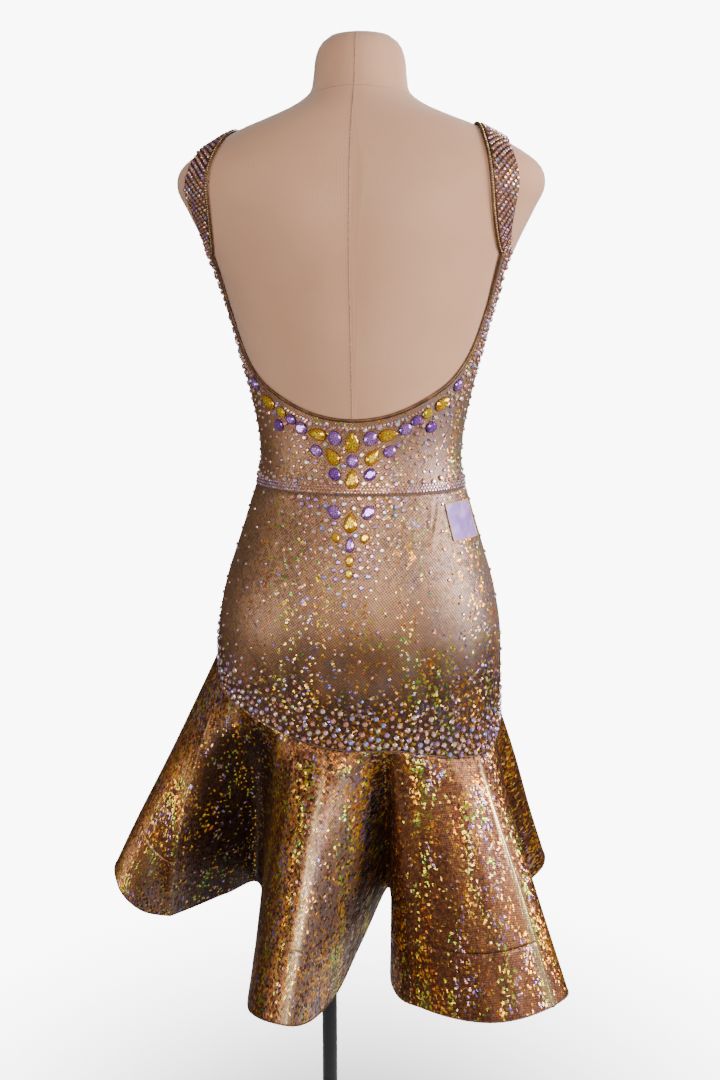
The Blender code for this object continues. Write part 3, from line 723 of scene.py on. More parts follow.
def read_cloth(tree, size, calm, zone):
    """All that the recipe needs to know of a place of the cloth."""
    place = cloth_metres(tree)
    shard = foil_shards(tree, place, size)
    hanging = made_vector(tree, "MULTIPLY", object_place(tree), zone)
    zones = parts_of(tree, noise(tree, hanging, 1.0, 2.0)[1])
    where = add_node(tree, "ShaderNodeSeparateXYZ", {0: object_place(tree)}).outputs
    height = sum_of(tree, where[2], spread(tree, zones[1], 0.3, 0.7, -LOW_UNEVEN, LOW_UNEVEN))
    cloth = SimpleNamespace(
        place=place, shard=shard, tone=parts_of(tree, shard), zones=zones,
        slope=facing_share(tree, LIGHT_SIDE), under=facing_share(tree, (0.0, 0.0, -1.0)),
        hollow=painted(tree, "hollow"), crest=painted(tree, "crest"),
        low=spread(tree, height, *LOW_SKIRT_SHADE, 0.0, calm),
        right=spread(tree, where[0], *RED_SIDE, 0.0, 0.92 * (1 - calm)),
    )
    # Hollows with painted shade, and the redder side, flash less.
    quiet = sum_of(tree, product(tree, cloth.hollow, 0.90), product(tree, cloth.right, 0.30))
    cloth.lively = sum_of(tree, 1.0, quiet, "SUBTRACT")
    return cloth


# %% [markdown]
# Then its colour without a flash: warm streaks and cool ones, the cool ones a painted lilac-grey
# reflection where the cloth faces the light; painted shade in the hollows, under the folds and low
# on the skirt; and a tone for each shard. Calm cloth, stretched over the form, has more even
# streaks than the cloth that hangs in folds, made paler by a painted peach sheen.

# %% The foil's ground colour
def foil_ground(tree, cloth, calm, depth):
    """Streaks and shade of the print."""
    # Random warm streaks; calm cloth is blended towards peach, a painted sheen.
    streaks_and_sheen = blended(tree, 0.60 * calm, ramp(tree, cloth.zones[0], STREAKS), PEACH_SHEEN)
    # Painted reflection: where the cloth faces the light side it turns lilac-grey, broken up by random streaks.
    lilac_reflection = sum_of(tree, spread(tree, cloth.slope, 0.30, 0.98, -0.30, 1.0),
                  spread(tree, cloth.zones[1], 0.35, 0.65, -0.35, 0.35))
    ground = blended(tree, spread(tree, lilac_reflection, 0.1, 0.9, 0.0, 0.85), streaks_and_sheen, LILAC_GREY_REFLECTION)
    # Painted shade: flounce cloth that faces down darkens, and so do its hollows.
    shade = spread(tree, cloth.under, 0.02, 0.30, 0.0, 0.62 * (1 - calm))
    ground = blended(tree, shade, ground, DARK_BROWN)
    ground = blended(tree, cloth.hollow, ground, DARK_BROWN)
    ground = blended(tree, cloth.right, ground, RED_BROWN)
    # Painted shade darkens the skirt low down; depth adds an even darkening of its own.
    low = sum_of(tree, product(tree, cloth.low, 0.84), depth)
    return blended(tree, low, ground, DARK_BROWN)


def with_shards(tree, cloth, ground, calm):
    """The ground with some shards warmer and some nearly dark."""
    mottled = spread(tree, cloth.tone[1], 0.3, 1.0, 0.0, 0.66 - 0.36 * calm)
    mottled = blended(tree, product(tree, mottled, cloth.lively), ground,
                      ramp(tree, cloth.tone[0], SPECKLE))
    dark = spread(tree, cloth.tone[2], 0.45, 0.90, 0.0, 0.86 - 0.51 * calm)
    return blended(tree, dark, mottled, DARK_BROWN)


# %% [markdown]
# A shard flashes when its tone is above a limit, and the limit falls where flecks crowd. What
# colour it flashes turns with the way the cloth faces, so neighbours run through the rainbow.

# %% The foil's flashes
def bright_shards(tree, cloth, flecks, calm):
    """1 on a shard that flashes, else 0."""
    crowd = product(tree, spread(tree, cloth.zones[2], 0.43, 0.60, 0.0, 1.0),
                    spread(tree, cloth.slope, -0.3, 0.8, 0.55 - 0.40 * calm, 1.0))
    crowd = sum_of(tree, crowd, product(tree, cloth.low,
                                        spread(tree, cloth.slope, -0.3, 0.8, 0.05, 0.85)))
    crowd = sum_of(tree, crowd, spread(tree, cloth.slope, 0.80, 0.97, 0.0, 0.50 * calm))
    crowd = product(tree, sum_of(tree, crowd, 0.10 * (1 - calm)), cloth.lively)
    limit = spread(tree, crowd, 0.0, 1.0, 0.985 - 0.02 * flecks, 0.985 - 0.60 * flecks)
    return sum_of(tree, cloth.tone[0], limit, "GREATER_THAN")


def flash_colour(tree, cloth):
    turn = sum_of(tree, product(tree, cloth.slope, 1.9), product(tree, cloth.zones[0], 2.6))
    turn = sum_of(tree, turn, product(tree, cloth.tone[1], 0.30))
    turn = add_node(tree, "ShaderNodeMath", {0: turn}, operation="FRACT").outputs[0]
    return ramp(tree, turn, RAINBOW, "CONSTANT")


# %% [markdown]
# Last come the dots, the shine and the tip of each shard. The brown knit shows between the dots
# and is rougher than they are. A bump from the dots is added to the shard's tip, which leans the
# normal to one side. Along a sharp crease, under its painted highlight, the foil is smoother and keeps no tip.

# %% Foil cloth
DOT = 0.0026                        # metres from one foil dot to the next
DOT_SLANT = math.radians(38)


def foil_dots(tree, place):
    """Distance from the middle of the nearest dot of a slanting grid."""
    slant = add_node(tree, "ShaderNodeVectorRotate", {"Vector": place, "Angle": DOT_SLANT},
                     rotation_type="Z_AXIS").outputs[0]
    return add_node(tree, "ShaderNodeTexVoronoi",
                    {"Vector": slant, "Scale": 1 / DOT, "Randomness": 0.0},
                    voronoi_dimensions="2D").outputs["Distance"]


def tipped_normal(tree, cloth, bright, dots, calm):
    """The dots' bump, leant to one side by each shard."""
    bump = add_node(tree, "ShaderNodeBump", {"Strength": 0.35, "Distance": 0.0003,
                                             "Height": sum_of(tree, 1.0, dots, "SUBTRACT")})
    tip = made_vector(tree, "SUBTRACT", cloth.shard, (0.5, 0.5, 0.5))
    lean = product(tree, spread(tree, bright, 0.0, 1.0, 0.26 - 0.07 * calm, 0.50),
                   sum_of(tree, 1.0, cloth.crest, "SUBTRACT"))
    tip = add_node(tree, "ShaderNodeVectorMath", {0: tip, "Scale": lean}, operation="SCALE")
    tipped = made_vector(tree, "ADD", bump.outputs["Normal"], tip.outputs[0])
    return made_vector(tree, "NORMALIZE", tipped)

# %% The whole recipe
def make_foil(name, size, flecks, calm, zone, depth=0.0):
    """Foil cloth: metres across a shard, share of bright ones, how even, streaked and dark."""
    material, tree, shader = new_finish(name)
    cloth = read_cloth(tree, size, calm, zone)
    bright = bright_shards(tree, cloth, flecks, calm)
    dots = foil_dots(tree, cloth.place)
    gap = spread(tree, dots, 0.38, 0.60, 0.0, 0.65 + 0.12 * calm)

    shaded = with_shards(tree, cloth, foil_ground(tree, cloth, calm, depth), calm)
    coloured = blended(tree, product(tree, bright, 0.92), shaded, flash_colour(tree, cloth))
    # Painted highlight along the sharp creases.
    coloured = blended(tree, cloth.crest, coloured, CREST_HIGHLIGHT)
    rough = spread(tree, bright, 0.0, 1.0, 0.40 + 0.08 * calm, 0.26)
    rough = sum_of(tree, rough, product(tree, gap, 0.3))
    set_inputs(tree, shader, {
        "Base Color": blended(tree, gap, coloured, DARK_BROWN),
        "Roughness": sum_of(tree, rough, product(tree, cloth.crest, -0.16)),
        "Metallic": 0.80, "Coat Weight": 0.05, "Coat Roughness": 0.36,
        "Normal": tipped_normal(tree, cloth, bright, dots, calm),
    })
    return material


body_foil = make_foil("bronze_foil_cloth_fitted", size=0.0024, flecks=0.44, calm=1.0,
                      zone=(22.0, 22.0, 10.0))
strap_foil = make_foil("bronze_foil_cloth_strap", size=0.0024, flecks=0.20, calm=1.0,
                       zone=(22.0, 22.0, 10.0), depth=0.72)
flounce_foil = make_foil("bronze_foil_cloth_flounce", size=0.0026, flecks=0.85, calm=0.0,
                         zone=(30.0, 30.0, 7.0))
print("foil cloth:", len(body_foil.node_tree.nodes), "nodes")

# %% [markdown]
# ### The other finishes
#
# The form's cover is a fine matt knit. Modelled threads would be far too many, so they are two
# crossed waves in the bump, under a colour that drifts a little. The label has such threads too.

# %% Linen
def set_bump(tree, shader, height, strength, distance):
    bump = add_node(tree, "ShaderNodeBump",
                    {"Strength": strength, "Distance": distance, "Height": height})
    tree.links.new(bump.outputs["Normal"], shader.inputs["Normal"])


def threads(tree, place, scale, angle):
    """Fine parallel threads across a place."""
    turned = add_node(tree, "ShaderNodeVectorRotate", {"Vector": place, "Angle": angle},
                      rotation_type="Z_AXIS").outputs[0]
    return add_node(tree, "ShaderNodeTexWave", {"Vector": turned, "Scale": scale,
                                                "Distortion": 0.6, "Detail": 1.0}).outputs[1]


def make_linen():
    material, tree, shader = new_finish("linen_knit")
    place = cloth_metres(tree)
    drift = noise(tree, place, 7.0, 3.0, flat=True)[0]
    fibre = noise(tree, place, 900.0, 2.0, flat=True)[0]
    base = ramp(tree, drift, (
        (0.30, 0.500, 0.248, 0.138), (0.55, 0.540, 0.276, 0.158), (0.80, 0.580, 0.305, 0.180),
    ))
    colour = blended(tree, spread(tree, fibre, 0.35, 0.65, 0.0, 0.16), base, (0.36, 0.17, 0.095))
    set_inputs(tree, shader, {"Base Color": colour, "Sheen Weight": 0.25,
                              "Roughness": spread(tree, fibre, 0.3, 0.7, 0.82, 0.95)})
    knit = sum_of(tree, threads(tree, place, 260.0, 0.0), threads(tree, place, 260.0, math.pi / 2))
    set_bump(tree, shader, sum_of(tree, knit, fibre), 0.22, 0.0003)
    return material


linen_knit = make_linen()
print("linen:", len(linen_knit.node_tree.nodes), "nodes")

# %% [markdown]
# Thread and cord are too thin for a pattern: their tone runs from dark to light in short
# lengths, as twisted yarn does. One recipe serves the form's seams, the dress's and the gold.

# %% Threads
def make_seam_thread(name, dark, light):
    material, tree, shader = new_finish(name)
    grain = noise(tree, object_place(tree), 420.0, 2.0)[0]
    set_inputs(tree, shader, {"Base Color": ramp(tree, grain, ((0.35, *dark), (0.65, *light))),
                              "Roughness": spread(tree, grain, 0.3, 0.7, 0.5, 0.75)})
    set_bump(tree, shader, grain, 0.4, 0.0003)
    return material


seam_cord = make_seam_thread("linen_seam_cord", (0.24, 0.12, 0.07), (0.44, 0.26, 0.17))
dark_seam = make_seam_thread("brown_seam_thread", (0.045, 0.020, 0.012), (0.14, 0.070, 0.040))
gold_thread = make_seam_thread("gold_thread", (0.46, 0.24, 0.06), (0.85, 0.55, 0.20))
print("made", seam_cord.name, "and", dark_seam.name, "and", gold_thread.name)

# %% [markdown]
# The binding is satin foil tape with fine ribs across it, darker between the ribs. The label is
# lavender satin film with a fine weave and a slow drift of tone, and nothing is printed on it.

# %% Binding tape and label film
def make_binding_tape():
    material, tree, shader = new_finish("brown_satin_tape")
    place = cloth_metres(tree)
    ribs = add_node(tree, "ShaderNodeTexWave", {"Vector": place, "Scale": 190.0,
                                                "Distortion": 1.2, "Detail": 1.0}).outputs[1]
    grain = noise(tree, place, 60.0, 3.0, flat=True)[0]
    base = ramp(tree, grain, (
        (0.30, 0.060, 0.022, 0.007), (0.55, 0.120, 0.046, 0.014), (0.80, 0.260, 0.110, 0.035),
    ))
    colour = blended(tree, spread(tree, ribs, 0.2, 0.9, 0.35, 0.0), base, (0.05, 0.022, 0.012))
    set_inputs(tree, shader, {"Base Color": colour, "Metallic": 0.35,
                              "Roughness": spread(tree, ribs, 0.0, 1.0, 0.48, 0.34)})
    set_bump(tree, shader, ribs, 0.4, 0.0002)
    return material


def make_label_film():
    material, tree, shader = new_finish("lavender_satin_film")
    place = cloth_metres(tree)
    weave = threads(tree, place, 420.0, 0.0)
    drift = noise(tree, place, 45.0, 2.0, flat=True)[0]
    base = ramp(tree, drift, (
        (0.30, 0.230, 0.095, 0.420), (0.52, 0.340, 0.165, 0.560), (0.74, 0.560, 0.350, 0.740),
    ))
    colour = blended(tree, spread(tree, weave, 0.2, 0.9, 0.18, 0.0), base, (0.30, 0.20, 0.42))
    set_inputs(tree, shader, {"Base Color": colour, "Metallic": 0.10,
                              "Roughness": spread(tree, weave, 0.0, 1.0, 0.42, 0.55)})
    set_bump(tree, shader, weave, 0.2, 0.0002)
    return material


binding_tape = make_binding_tape()
label_film = make_label_film()
print("made", binding_tape.name, "and", label_film.name)

# %% [markdown]
# The stand is painted metal: nearly black, a little glossy, with fine specks in the paint and
# some scuffs. The floor is matt and pale; away from the dress it thins out to the bright sky, so
# that no line shows where it ends.

# %% Stand and floor
def make_stand_paint():
    material, tree, shader = new_finish("black_painted_metal")
    place = object_place(tree)
    scuff = noise(tree, place, 24.0, 6.0, rough=0.7)[0]
    worn = spread(tree, scuff, 0.62, 0.72, 0.0, 0.5)
    set_inputs(tree, shader, {
        "Base Color": blended(tree, worn, (0.012, 0.011, 0.012), (0.075, 0.070, 0.066)),
        "Roughness": spread(tree, scuff, 0.3, 0.7, 0.28, 0.46), "Specular IOR Level": 0.3,
    })
    set_bump(tree, shader, noise(tree, place, 700.0, 2.0)[0], 0.15, 0.0002)
    return material


def make_floor_paint():
    material, tree, shader = new_finish("pale_studio_floor")
    place = object_place(tree)
    grain = noise(tree, place, 3.0, 4.0)[0]
    colour = ramp(tree, grain, ((0.3, 0.70, 0.695, 0.69), (0.7, 0.74, 0.735, 0.73)))
    set_inputs(tree, shader, {"Base Color": colour, "Roughness": 0.9})
    away = add_node(tree, "ShaderNodeVectorMath", {0: place}, operation="LENGTH").outputs["Value"]
    clear = add_node(tree, "ShaderNodeBsdfTransparent").outputs[0]
    far = add_node(tree, "ShaderNodeMapRange", {"Value": away, "From Min": 0.05, "From Max": 1.0},
                   interpolation_type="SMOOTHSTEP").outputs[0]
    both = add_node(tree, "ShaderNodeMixShader", {0: far, 1: shader.outputs[0], 2: clear})
    tree.links.new(both.outputs[0], tree.nodes["Material Output"].inputs["Surface"])
    return material


stand_paint = make_stand_paint()
floor.data.materials.append(make_floor_paint())
print(len(bpy.data.materials), "finishes")

# %% [markdown]
# ## The form and its stand
#
# The form is one closed shell with a knitted cover. Its back has shallow shoulder blades and a
# furrow between them. They could be sculpted, but two soft bell curves added to the measured
# sections give the same shape from a few numbers. The stand keeps its CAD solids, which have
# the right shape already, and gets its paint.

# %% Form
FORM_COLUMNS = 144
FORM_ROW = 0.006
FURROW_DEPTH, FURROW_WIDTH = 0.0016, 0.020
FURROW_MIDDLE, FURROW_REACH = 1.26, 0.11
BLADE_RISE, BLADE_OUT, BLADE_HEIGHT, BLADE_SPREAD = 0.0022, 0.070, 1.315, 0.042


def cover_at(angle, z):
    """The form's cover, with its blades and furrow on the back."""
    points = form_at(angle, z)
    x = points[..., 0]
    back = np.cos(np.radians(angle)) > 0
    tall = np.exp(-(((points[..., 2] - FURROW_MIDDLE) / FURROW_REACH) ** 4))
    furrow = FURROW_DEPTH * np.exp(-((x / FURROW_WIDTH) ** 2)) * tall
    away = np.hypot(np.abs(x) - BLADE_OUT, points[..., 2] - BLADE_HEIGHT) / BLADE_SPREAD
    points[..., 1] += np.where(back, BLADE_RISE * np.exp(-away * away) - furrow, 0.0)
    return points


form_heights = np.linspace(FORM_BOTTOM, FORM_TOP, round((FORM_TOP - FORM_BOTTOM) / FORM_ROW) + 1)
form_angles = np.arange(FORM_COLUMNS) * 360 / FORM_COLUMNS
form_grid = cover_at(form_angles[None, :], form_heights[:, None])
form_faces = grid_faces(*form_grid.shape[:2], closed=True)
form_points = form_grid.reshape(-1, 3)
form_faces = facing(form_points, form_faces, form_points * (1.0, 1.0, 0.0)).tolist()
form_faces.append(list(range(FORM_COLUMNS)))
form_faces.append(list(range(len(form_points) - FORM_COLUMNS, len(form_points)))[::-1])
form_uv = np.column_stack([np.tile(form_angles * METRES_A_DEGREE, len(form_heights)),
                           form_points[:, 2]])
form_cover = in_collection("form_cover", mesh_of("form_cover", form_points, form_faces, form_uv))
form_cover.data.set_sharp_from_angle(angle=math.radians(50))
dress_piece(form_cover, linen_knit, "linen_cover", "form_torso")
print("form cover:", len(form_faces), "faces")

# %% [markdown]
# A seam of the cover shows as a fine cord, half sunk in it. A line in the colour would vanish
# from the side, so each one is a flattened tube whose path lies on the cover: down the centre
# back and front, round the base of the neck, and over the breast on both sides.

# %% Seams of the cover
NECK_SEAM, NECK_SEAM_TIP = 1.4375, 0.010    # its height, and how much higher it is behind
PRINCESS_ANGLE = 148.0


def form_seam(name, angle, z, closed=False, width=0.0013, height=0.0010):
    """A cord on the cover through places given by angle and height."""
    angle = np.broadcast_to(angle, z.shape)
    cord_piece(name, cover_at(angle, z), outward(cover_at, angle, z, 0.5, 0.002), width, height,
               seam_cord, "linen_cover", closed)


form_seam("form_centre_back_seam", 0.0, np.linspace(1.05, FORM_TOP - 0.002, 120))
form_seam("form_centre_front_seam", 180.0,
          np.linspace(FORM_BOTTOM + 0.002, FORM_TOP - 0.002, 150))
around = np.arange(96) * 360 / 96
form_seam("form_neck_seam", around, NECK_SEAM + NECK_SEAM_TIP * np.cos(np.radians(around)),
          closed=True, width=0.0010, height=0.0006)
for side, side_name in ((1, "left"), (-1, "right")):
    form_seam(f"form_princess_seam_{side_name}", side * PRINCESS_ANGLE,
              np.linspace(1.18, 1.395, 60))
print("cover seams done")

# %% Stand
for node in ("stand_base", "stand_pole", "stand_hub"):
    stand_mesh = frame["nodes"][node].data
    stand_mesh.materials.clear()
    stand_mesh.materials.append(stand_paint)
print("stand painted")

# %% [markdown]
# ## The hip skirt
#
# Two fitted panels run from the waist seam down to the flounce's seam, which climbs on a slant
# round the hips. Cutting a tube with a slanted plane would give a straight slant, but the real
# seam swings, so a table holds its height at each angle and the panel's rows are spread between
# it and the waist. Each edge is turned in a little, so that two pieces meet in a fine groove, as
# they do at a sewn seam.

# %% The flounce's seam
FLOUNCE_SEAM = np.array([
    # angle, height
    (-90.0, 0.712), (-66.0, 0.689), (-42.0, 0.692), (-18.0, 0.705), (4.0, 0.706),
    (22.0, 0.718), (44.0, 0.738), (64.0, 0.752), (88.0, 0.790), (112.0, 0.825),
    (140.0, 0.845), (175.0, 0.835), (210.0, 0.800), (240.0, 0.755),
])
EDGE_SINK = 0.0010      # how far an edge is turned in
EDGE_REACH = 0.0014


def loop_curve(table, column, angle):
    """A column of a table as a smooth curve round a full turn."""
    xs, ys = table[:, 0], table[:, column]
    turned = (np.asarray(angle, float) - xs[0]) % 360 + xs[0]
    xs = np.concatenate([xs[-2:] - 360, xs, xs[:2] + 360])
    ys = np.concatenate([ys[-2:], ys, ys[:2]])
    return smooth_curve(xs, ys, turned)


def flounce_seam(angle):
    return loop_curve(FLOUNCE_SEAM, 1, angle)


def turned_in(distance):
    """How far an edge sinks at a distance from it."""
    return -EDGE_SINK * np.exp(-((distance / EDGE_REACH) ** 2))


def arc_metres(grid):
    """Length along each row of a grid of points, from its first column."""
    ahead = np.linalg.norm(np.diff(grid, axis=1), axis=-1)
    return np.concatenate([np.zeros((grid.shape[0], 1)), np.cumsum(ahead, axis=1)], axis=1)

# %% Skirt panels
SKIRT_WIDTH, SKIRT_DEPTH = 0.42, 0.25   # of a panel, near enough to space its columns and rows


def make_skirt(name, middle):
    """A skirt panel: its middle is at angle 0 or 180."""
    across = edge_steps(SKIRT_WIDTH, 0.0026) / SKIRT_WIDTH
    up = edge_steps(SKIRT_DEPTH, 0.0032) / SKIRT_DEPTH
    angle = middle + (across * 2 - 1) * SIDE_SEAM
    low = flounce_seam(angle)
    z = low[None, :] + up[:, None] * (WAIST_SEAM - low[None, :])
    angle = np.broadcast_to(angle[None, :], z.shape)
    from_side = np.minimum(across, 1 - across)[None, :] * SKIRT_WIDTH
    sink = turned_in(from_side) + turned_in(z - low[None, :]) + turned_in(WAIST_SEAM - z)
    grid = worn_cloth_at(angle, z, np.maximum(sink, -EDGE_SINK))
    run = arc_metres(grid)
    uv = np.stack([run - run[:, -1:] / 2, z], axis=-1)
    return sheet_piece("foil_" + name, grid, cloth_direction(angle, z), uv,
                       body_foil, "foil_cloth", name)


skirt_back = make_skirt("skirt_back", 0.0)
skirt_front = make_skirt("skirt_front", 180.0)

# %% [markdown]
# ## The bodice
#
# The back is cut in a deep U to just above the waist, the front is closed high on the chest. A
# whole tube with the neckline cut out by a Boolean would have a ragged edge. Here the columns
# run from the neckline's edge to the side seam and the armhole, so that both edges are clean
# rows of points. Below the neckline one grid crosses the centre; above it each side has its own,
# and the parts are welded where they meet.

# %% Neckline and armhole
BACK_NECK = np.array([
    # height, angle
    (1.082, 0.0), (1.088, 20.0), (1.104, 38.0), (1.128, 56.0),
    (1.165, 69.0), (1.208, 73.0), (1.240, 70.5), (1.270, 66.5),
])
FRONT_NECK = np.array([
    (1.185, 180.0), (1.190, 166.0), (1.205, 151.0), (1.235, 139.0), (1.270, 132.0),
])
UNDERARM = 1.232
STRAP_JOIN = 1.270
BACK_STRAP_OUTER = 78.0
FRONT_STRAP_OUTER = 112.0
BODICE_WIDTH = 0.18     # of half a panel, near enough to space its columns
BODICE_DEGREE = 0.0022  # metres of cloth to a degree round the bodice


def neck_angle(table, z, below):
    """Angle of the neckline's edge, which runs level where it crosses the centre."""
    bottom = table[0, 0]
    root = np.sqrt(np.maximum(z - bottom, 0.0))
    angle = smooth_curve(np.sqrt(table[:, 0] - bottom), table[:, 1], root)
    return np.where(z <= bottom, below, angle)


def armhole_angle(z, strap_outer):
    """Angle of the armhole's edge: level at the side seam, then a quarter oval up."""
    below_strap = 1 - np.clip((z - UNDERARM) / (STRAP_JOIN - UNDERARM), 0, 1)
    return SIDE_SEAM + (strap_outer - SIDE_SEAM) * np.sqrt(1 - below_strap * below_strap)

# %% Grids of a bodice panel
def bodice_rows(bottom):
    """Heights of a panel's rows: close together where the neckline runs level."""
    plain = edge_steps(bottom - WAIST_SEAM, 0.003)[:-5] + WAIST_SEAM
    plain = plain[plain < bottom - 0.0004]
    curved = bottom + (UNDERARM - bottom) * np.linspace(0, 1, 60) ** 2
    arm = UNDERARM + (STRAP_JOIN - UNDERARM) * (1 - np.cos(np.radians(np.arange(6, 91, 6))))
    return np.concatenate([plain, curved, arm])


def weld(mesh):
    """Join the points where the parts of a panel meet."""
    work = bmesh.new()
    work.from_mesh(mesh)
    bmesh.ops.remove_doubles(work, verts=work.verts, dist=0.00002)
    bmesh.ops.dissolve_degenerate(work, dist=0.00001, edges=work.edges)
    work.to_mesh(mesh)
    work.free()


def bodice_parts(table, centre, strap_outer):
    """Angles, heights and sink at the edges of a panel's grids."""
    z = bodice_rows(table[0, 0])
    across = edge_steps(BODICE_WIDTH, 0.003) / BODICE_WIDTH
    inner, outer = neck_angle(table, z, centre), armhole_angle(z, strap_outer)
    half = inner[:, None] + across[None, :] * (outer - inner)[:, None]
    from_side = (1 - across)[None, :] * np.abs(outer - inner)[:, None] * BODICE_DEGREE
    sink = turned_in(from_side) + turned_in(z - WAIST_SEAM)[:, None]
    mirrored, mirrored_sink = (2 * centre - half)[:, ::-1], sink[:, ::-1]
    below = z < table[0, 0] + 1e-6
    above = np.flatnonzero(~below)
    above = np.concatenate([[above[0] - 1], above])
    return (
        (np.concatenate([mirrored[below][:, :-1], half[below]], axis=1), z[below],
         np.concatenate([mirrored_sink[below][:, :-1], sink[below]], axis=1)),
        (half[above], z[above], sink[above]),
        (mirrored[above], z[above], mirrored_sink[above]),
    )

# %% Bodice panels
def make_bodice(name, table, centre, strap_outer):
    points, faces, uvs, start = [], [], [], 0
    for angle, z, sink in bodice_parts(table, centre, strap_outer):
        z = np.broadcast_to(z[:, None], angle.shape)
        grid = worn_cloth_at(angle, z, np.maximum(sink, -EDGE_SINK)).reshape(-1, 3)
        direction = cloth_direction(angle, z).reshape(-1, 3)
        faces.append(facing(grid, grid_faces(*angle.shape), direction) + start)
        points.append(grid)
        uvs.append(np.stack([(angle - centre) * BODICE_DEGREE, z], axis=-1).reshape(-1, 2))
        start += angle.size
    mesh = mesh_of("foil_" + name, np.concatenate(points), np.concatenate(faces),
                   np.concatenate(uvs))
    weld(mesh)
    return cloth_piece("foil_" + name, mesh, body_foil, "foil_cloth", name)


bodice_back = make_bodice("bodice_back", BACK_NECK, 0.0, BACK_STRAP_OUTER)
bodice_front = make_bodice("bodice_front", FRONT_NECK, 180.0, FRONT_STRAP_OUTER)

# %% [markdown]
# ## The straps
#
# A strap lies over the shoulder's round end, where heights and angles round the body give out.
# A flat ribbon could be wrapped on with a Shrinkwrap modifier, but its ends have to meet the
# bodice exactly. So its points are found by rays from inside the shoulder: a turn from back to
# front and a lean outward. Halving the step finds where each ray leaves the form.

# %% Rays from the shoulder
SHOULDER = np.array((0.120, 0.002, 1.300))
STRAP_SHIFT = 0.004     # both straps sit a little towards the wearer's left
STRAP_ROWS = (
    # turn, x of the inner edge, x of the outer edge
    (22.0, 0.158, 0.181), (50.0, 0.150, 0.177), (75.0, 0.140, 0.170), (92.0, 0.136, 0.167),
    (112.0, 0.134, 0.165), (138.0, 0.134, 0.165), (168.0, 0.136, 0.167),
)
STRAP_KEYS = 5          # columns of the strap's table, from the inner edge to the outer
STRAP_COLUMNS = 14      # of the strap's finished grid
STRAP_ROWS_A_KEY = 9
RAY_HALVINGS, LEAN_HALVINGS = 26, 22


def inside_form(points):
    half, back, front, fullness = (form_measure(k, points[..., 2]) for k in (1, 2, 3, 4))
    across = np.abs(points[..., 0]) / half
    reach = np.maximum(1 - np.minimum(across, 1.0) ** fullness, 0.0) ** (1 / fullness)
    depth = (back + front) / 2
    behind = points[..., 1] - (back - front) / 2
    ahead = depth + bust_rise(points[..., 0], points[..., 2])
    return (across < 1) & (behind < depth * reach) & (behind > -ahead * reach)


def shoulder_at(turn, lean):
    turn, lean = np.broadcast_arrays(np.radians(turn), np.radians(lean))
    ray = np.stack([np.sin(lean), np.cos(lean) * np.cos(turn), np.cos(lean) * np.sin(turn)],
                   axis=-1)
    near, far = np.zeros(turn.shape), np.full(turn.shape, 0.25)
    for _ in range(RAY_HALVINGS):
        middle = (near + far) / 2
        inside = inside_form(SHOULDER + ray * middle[..., None])
        near, far = np.where(inside, middle, near), np.where(inside, far, middle)
    return SHOULDER + ray * near[..., None]


def shoulder_direction(turn, lean):
    return -outward(shoulder_at, turn, lean, 2.0, 2.0)


def lean_at(turn, x):
    """The lean at which the ray with this turn leaves the form at x."""
    low, high = -20.0, 80.0
    for _ in range(LEAN_HALVINGS):
        middle = (low + high) / 2
        low, high = (middle, high) if shoulder_at(turn, middle)[0] < x else (low, middle)
    return low


def aim(point):
    """Turn and lean of the ray through a point."""
    ray = point - SHOULDER
    turn = math.degrees(math.atan2(ray[2], ray[1]))
    return turn + 360 * (turn < -90), math.degrees(math.asin(ray[0] / np.linalg.norm(ray)))

# %% Grid of a strap
def strap_turns(side):
    """Turn and lean of a strap's grid, from its back end to its front end."""
    back_end = steps(neck_angle(BACK_NECK, STRAP_JOIN, 0.0), BACK_STRAP_OUTER, STRAP_KEYS - 1)
    front_end = steps(neck_angle(FRONT_NECK, STRAP_JOIN, 180.0), FRONT_STRAP_OUTER,
                      STRAP_KEYS - 1)
    keys = [[aim(p) for p in cloth_at(back_end, STRAP_JOIN, 0.0)]]
    for turn, inner, outer in STRAP_ROWS:
        ends = [lean_at(turn, x + STRAP_SHIFT * side) for x in (inner, outer)]
        keys.append([(turn, lean) for lean in steps(*ends, STRAP_KEYS - 1)])
    keys.append([aim(p) for p in cloth_at(front_end, STRAP_JOIN, 0.0)])
    keys = np.array(keys)
    places = np.arange(len(keys), dtype=float)
    at = steps(0, len(keys) - 1, STRAP_ROWS_A_KEY * (len(keys) - 1))
    rows = np.stack([
        np.stack([smooth_curve(places, keys[:, k, part], at) for k in range(STRAP_KEYS)], axis=1)
        for part in (0, 1)
    ])
    fine = steps(0, STRAP_KEYS - 1, STRAP_COLUMNS)
    key_columns = np.arange(STRAP_KEYS, dtype=float)
    return [np.array([np.interp(fine, key_columns, row) for row in part]) for part in rows]


def strap_grid(side):
    """Outer points and directions of a strap, rows from back to front."""
    turn, lean = strap_turns(side)
    direction = shoulder_direction(turn, lean)
    grid = shoulder_at(turn, lean) + direction * CLOTH_OUT
    for row, table, centre, outer in ((0, BACK_NECK, 0.0, BACK_STRAP_OUTER),
                                      (-1, FRONT_NECK, 180.0, FRONT_STRAP_OUTER)):
        end = steps(neck_angle(table, STRAP_JOIN, centre), outer, STRAP_COLUMNS)
        grid[row] = cloth_at(end, STRAP_JOIN, CLOTH_OUT)
        direction[row] = cloth_direction(end, STRAP_JOIN)
    return grid * (side, 1.0, 1.0), direction * (side, 1.0, 1.0)


# %% Straps
STRAP_LENGTHS = {}


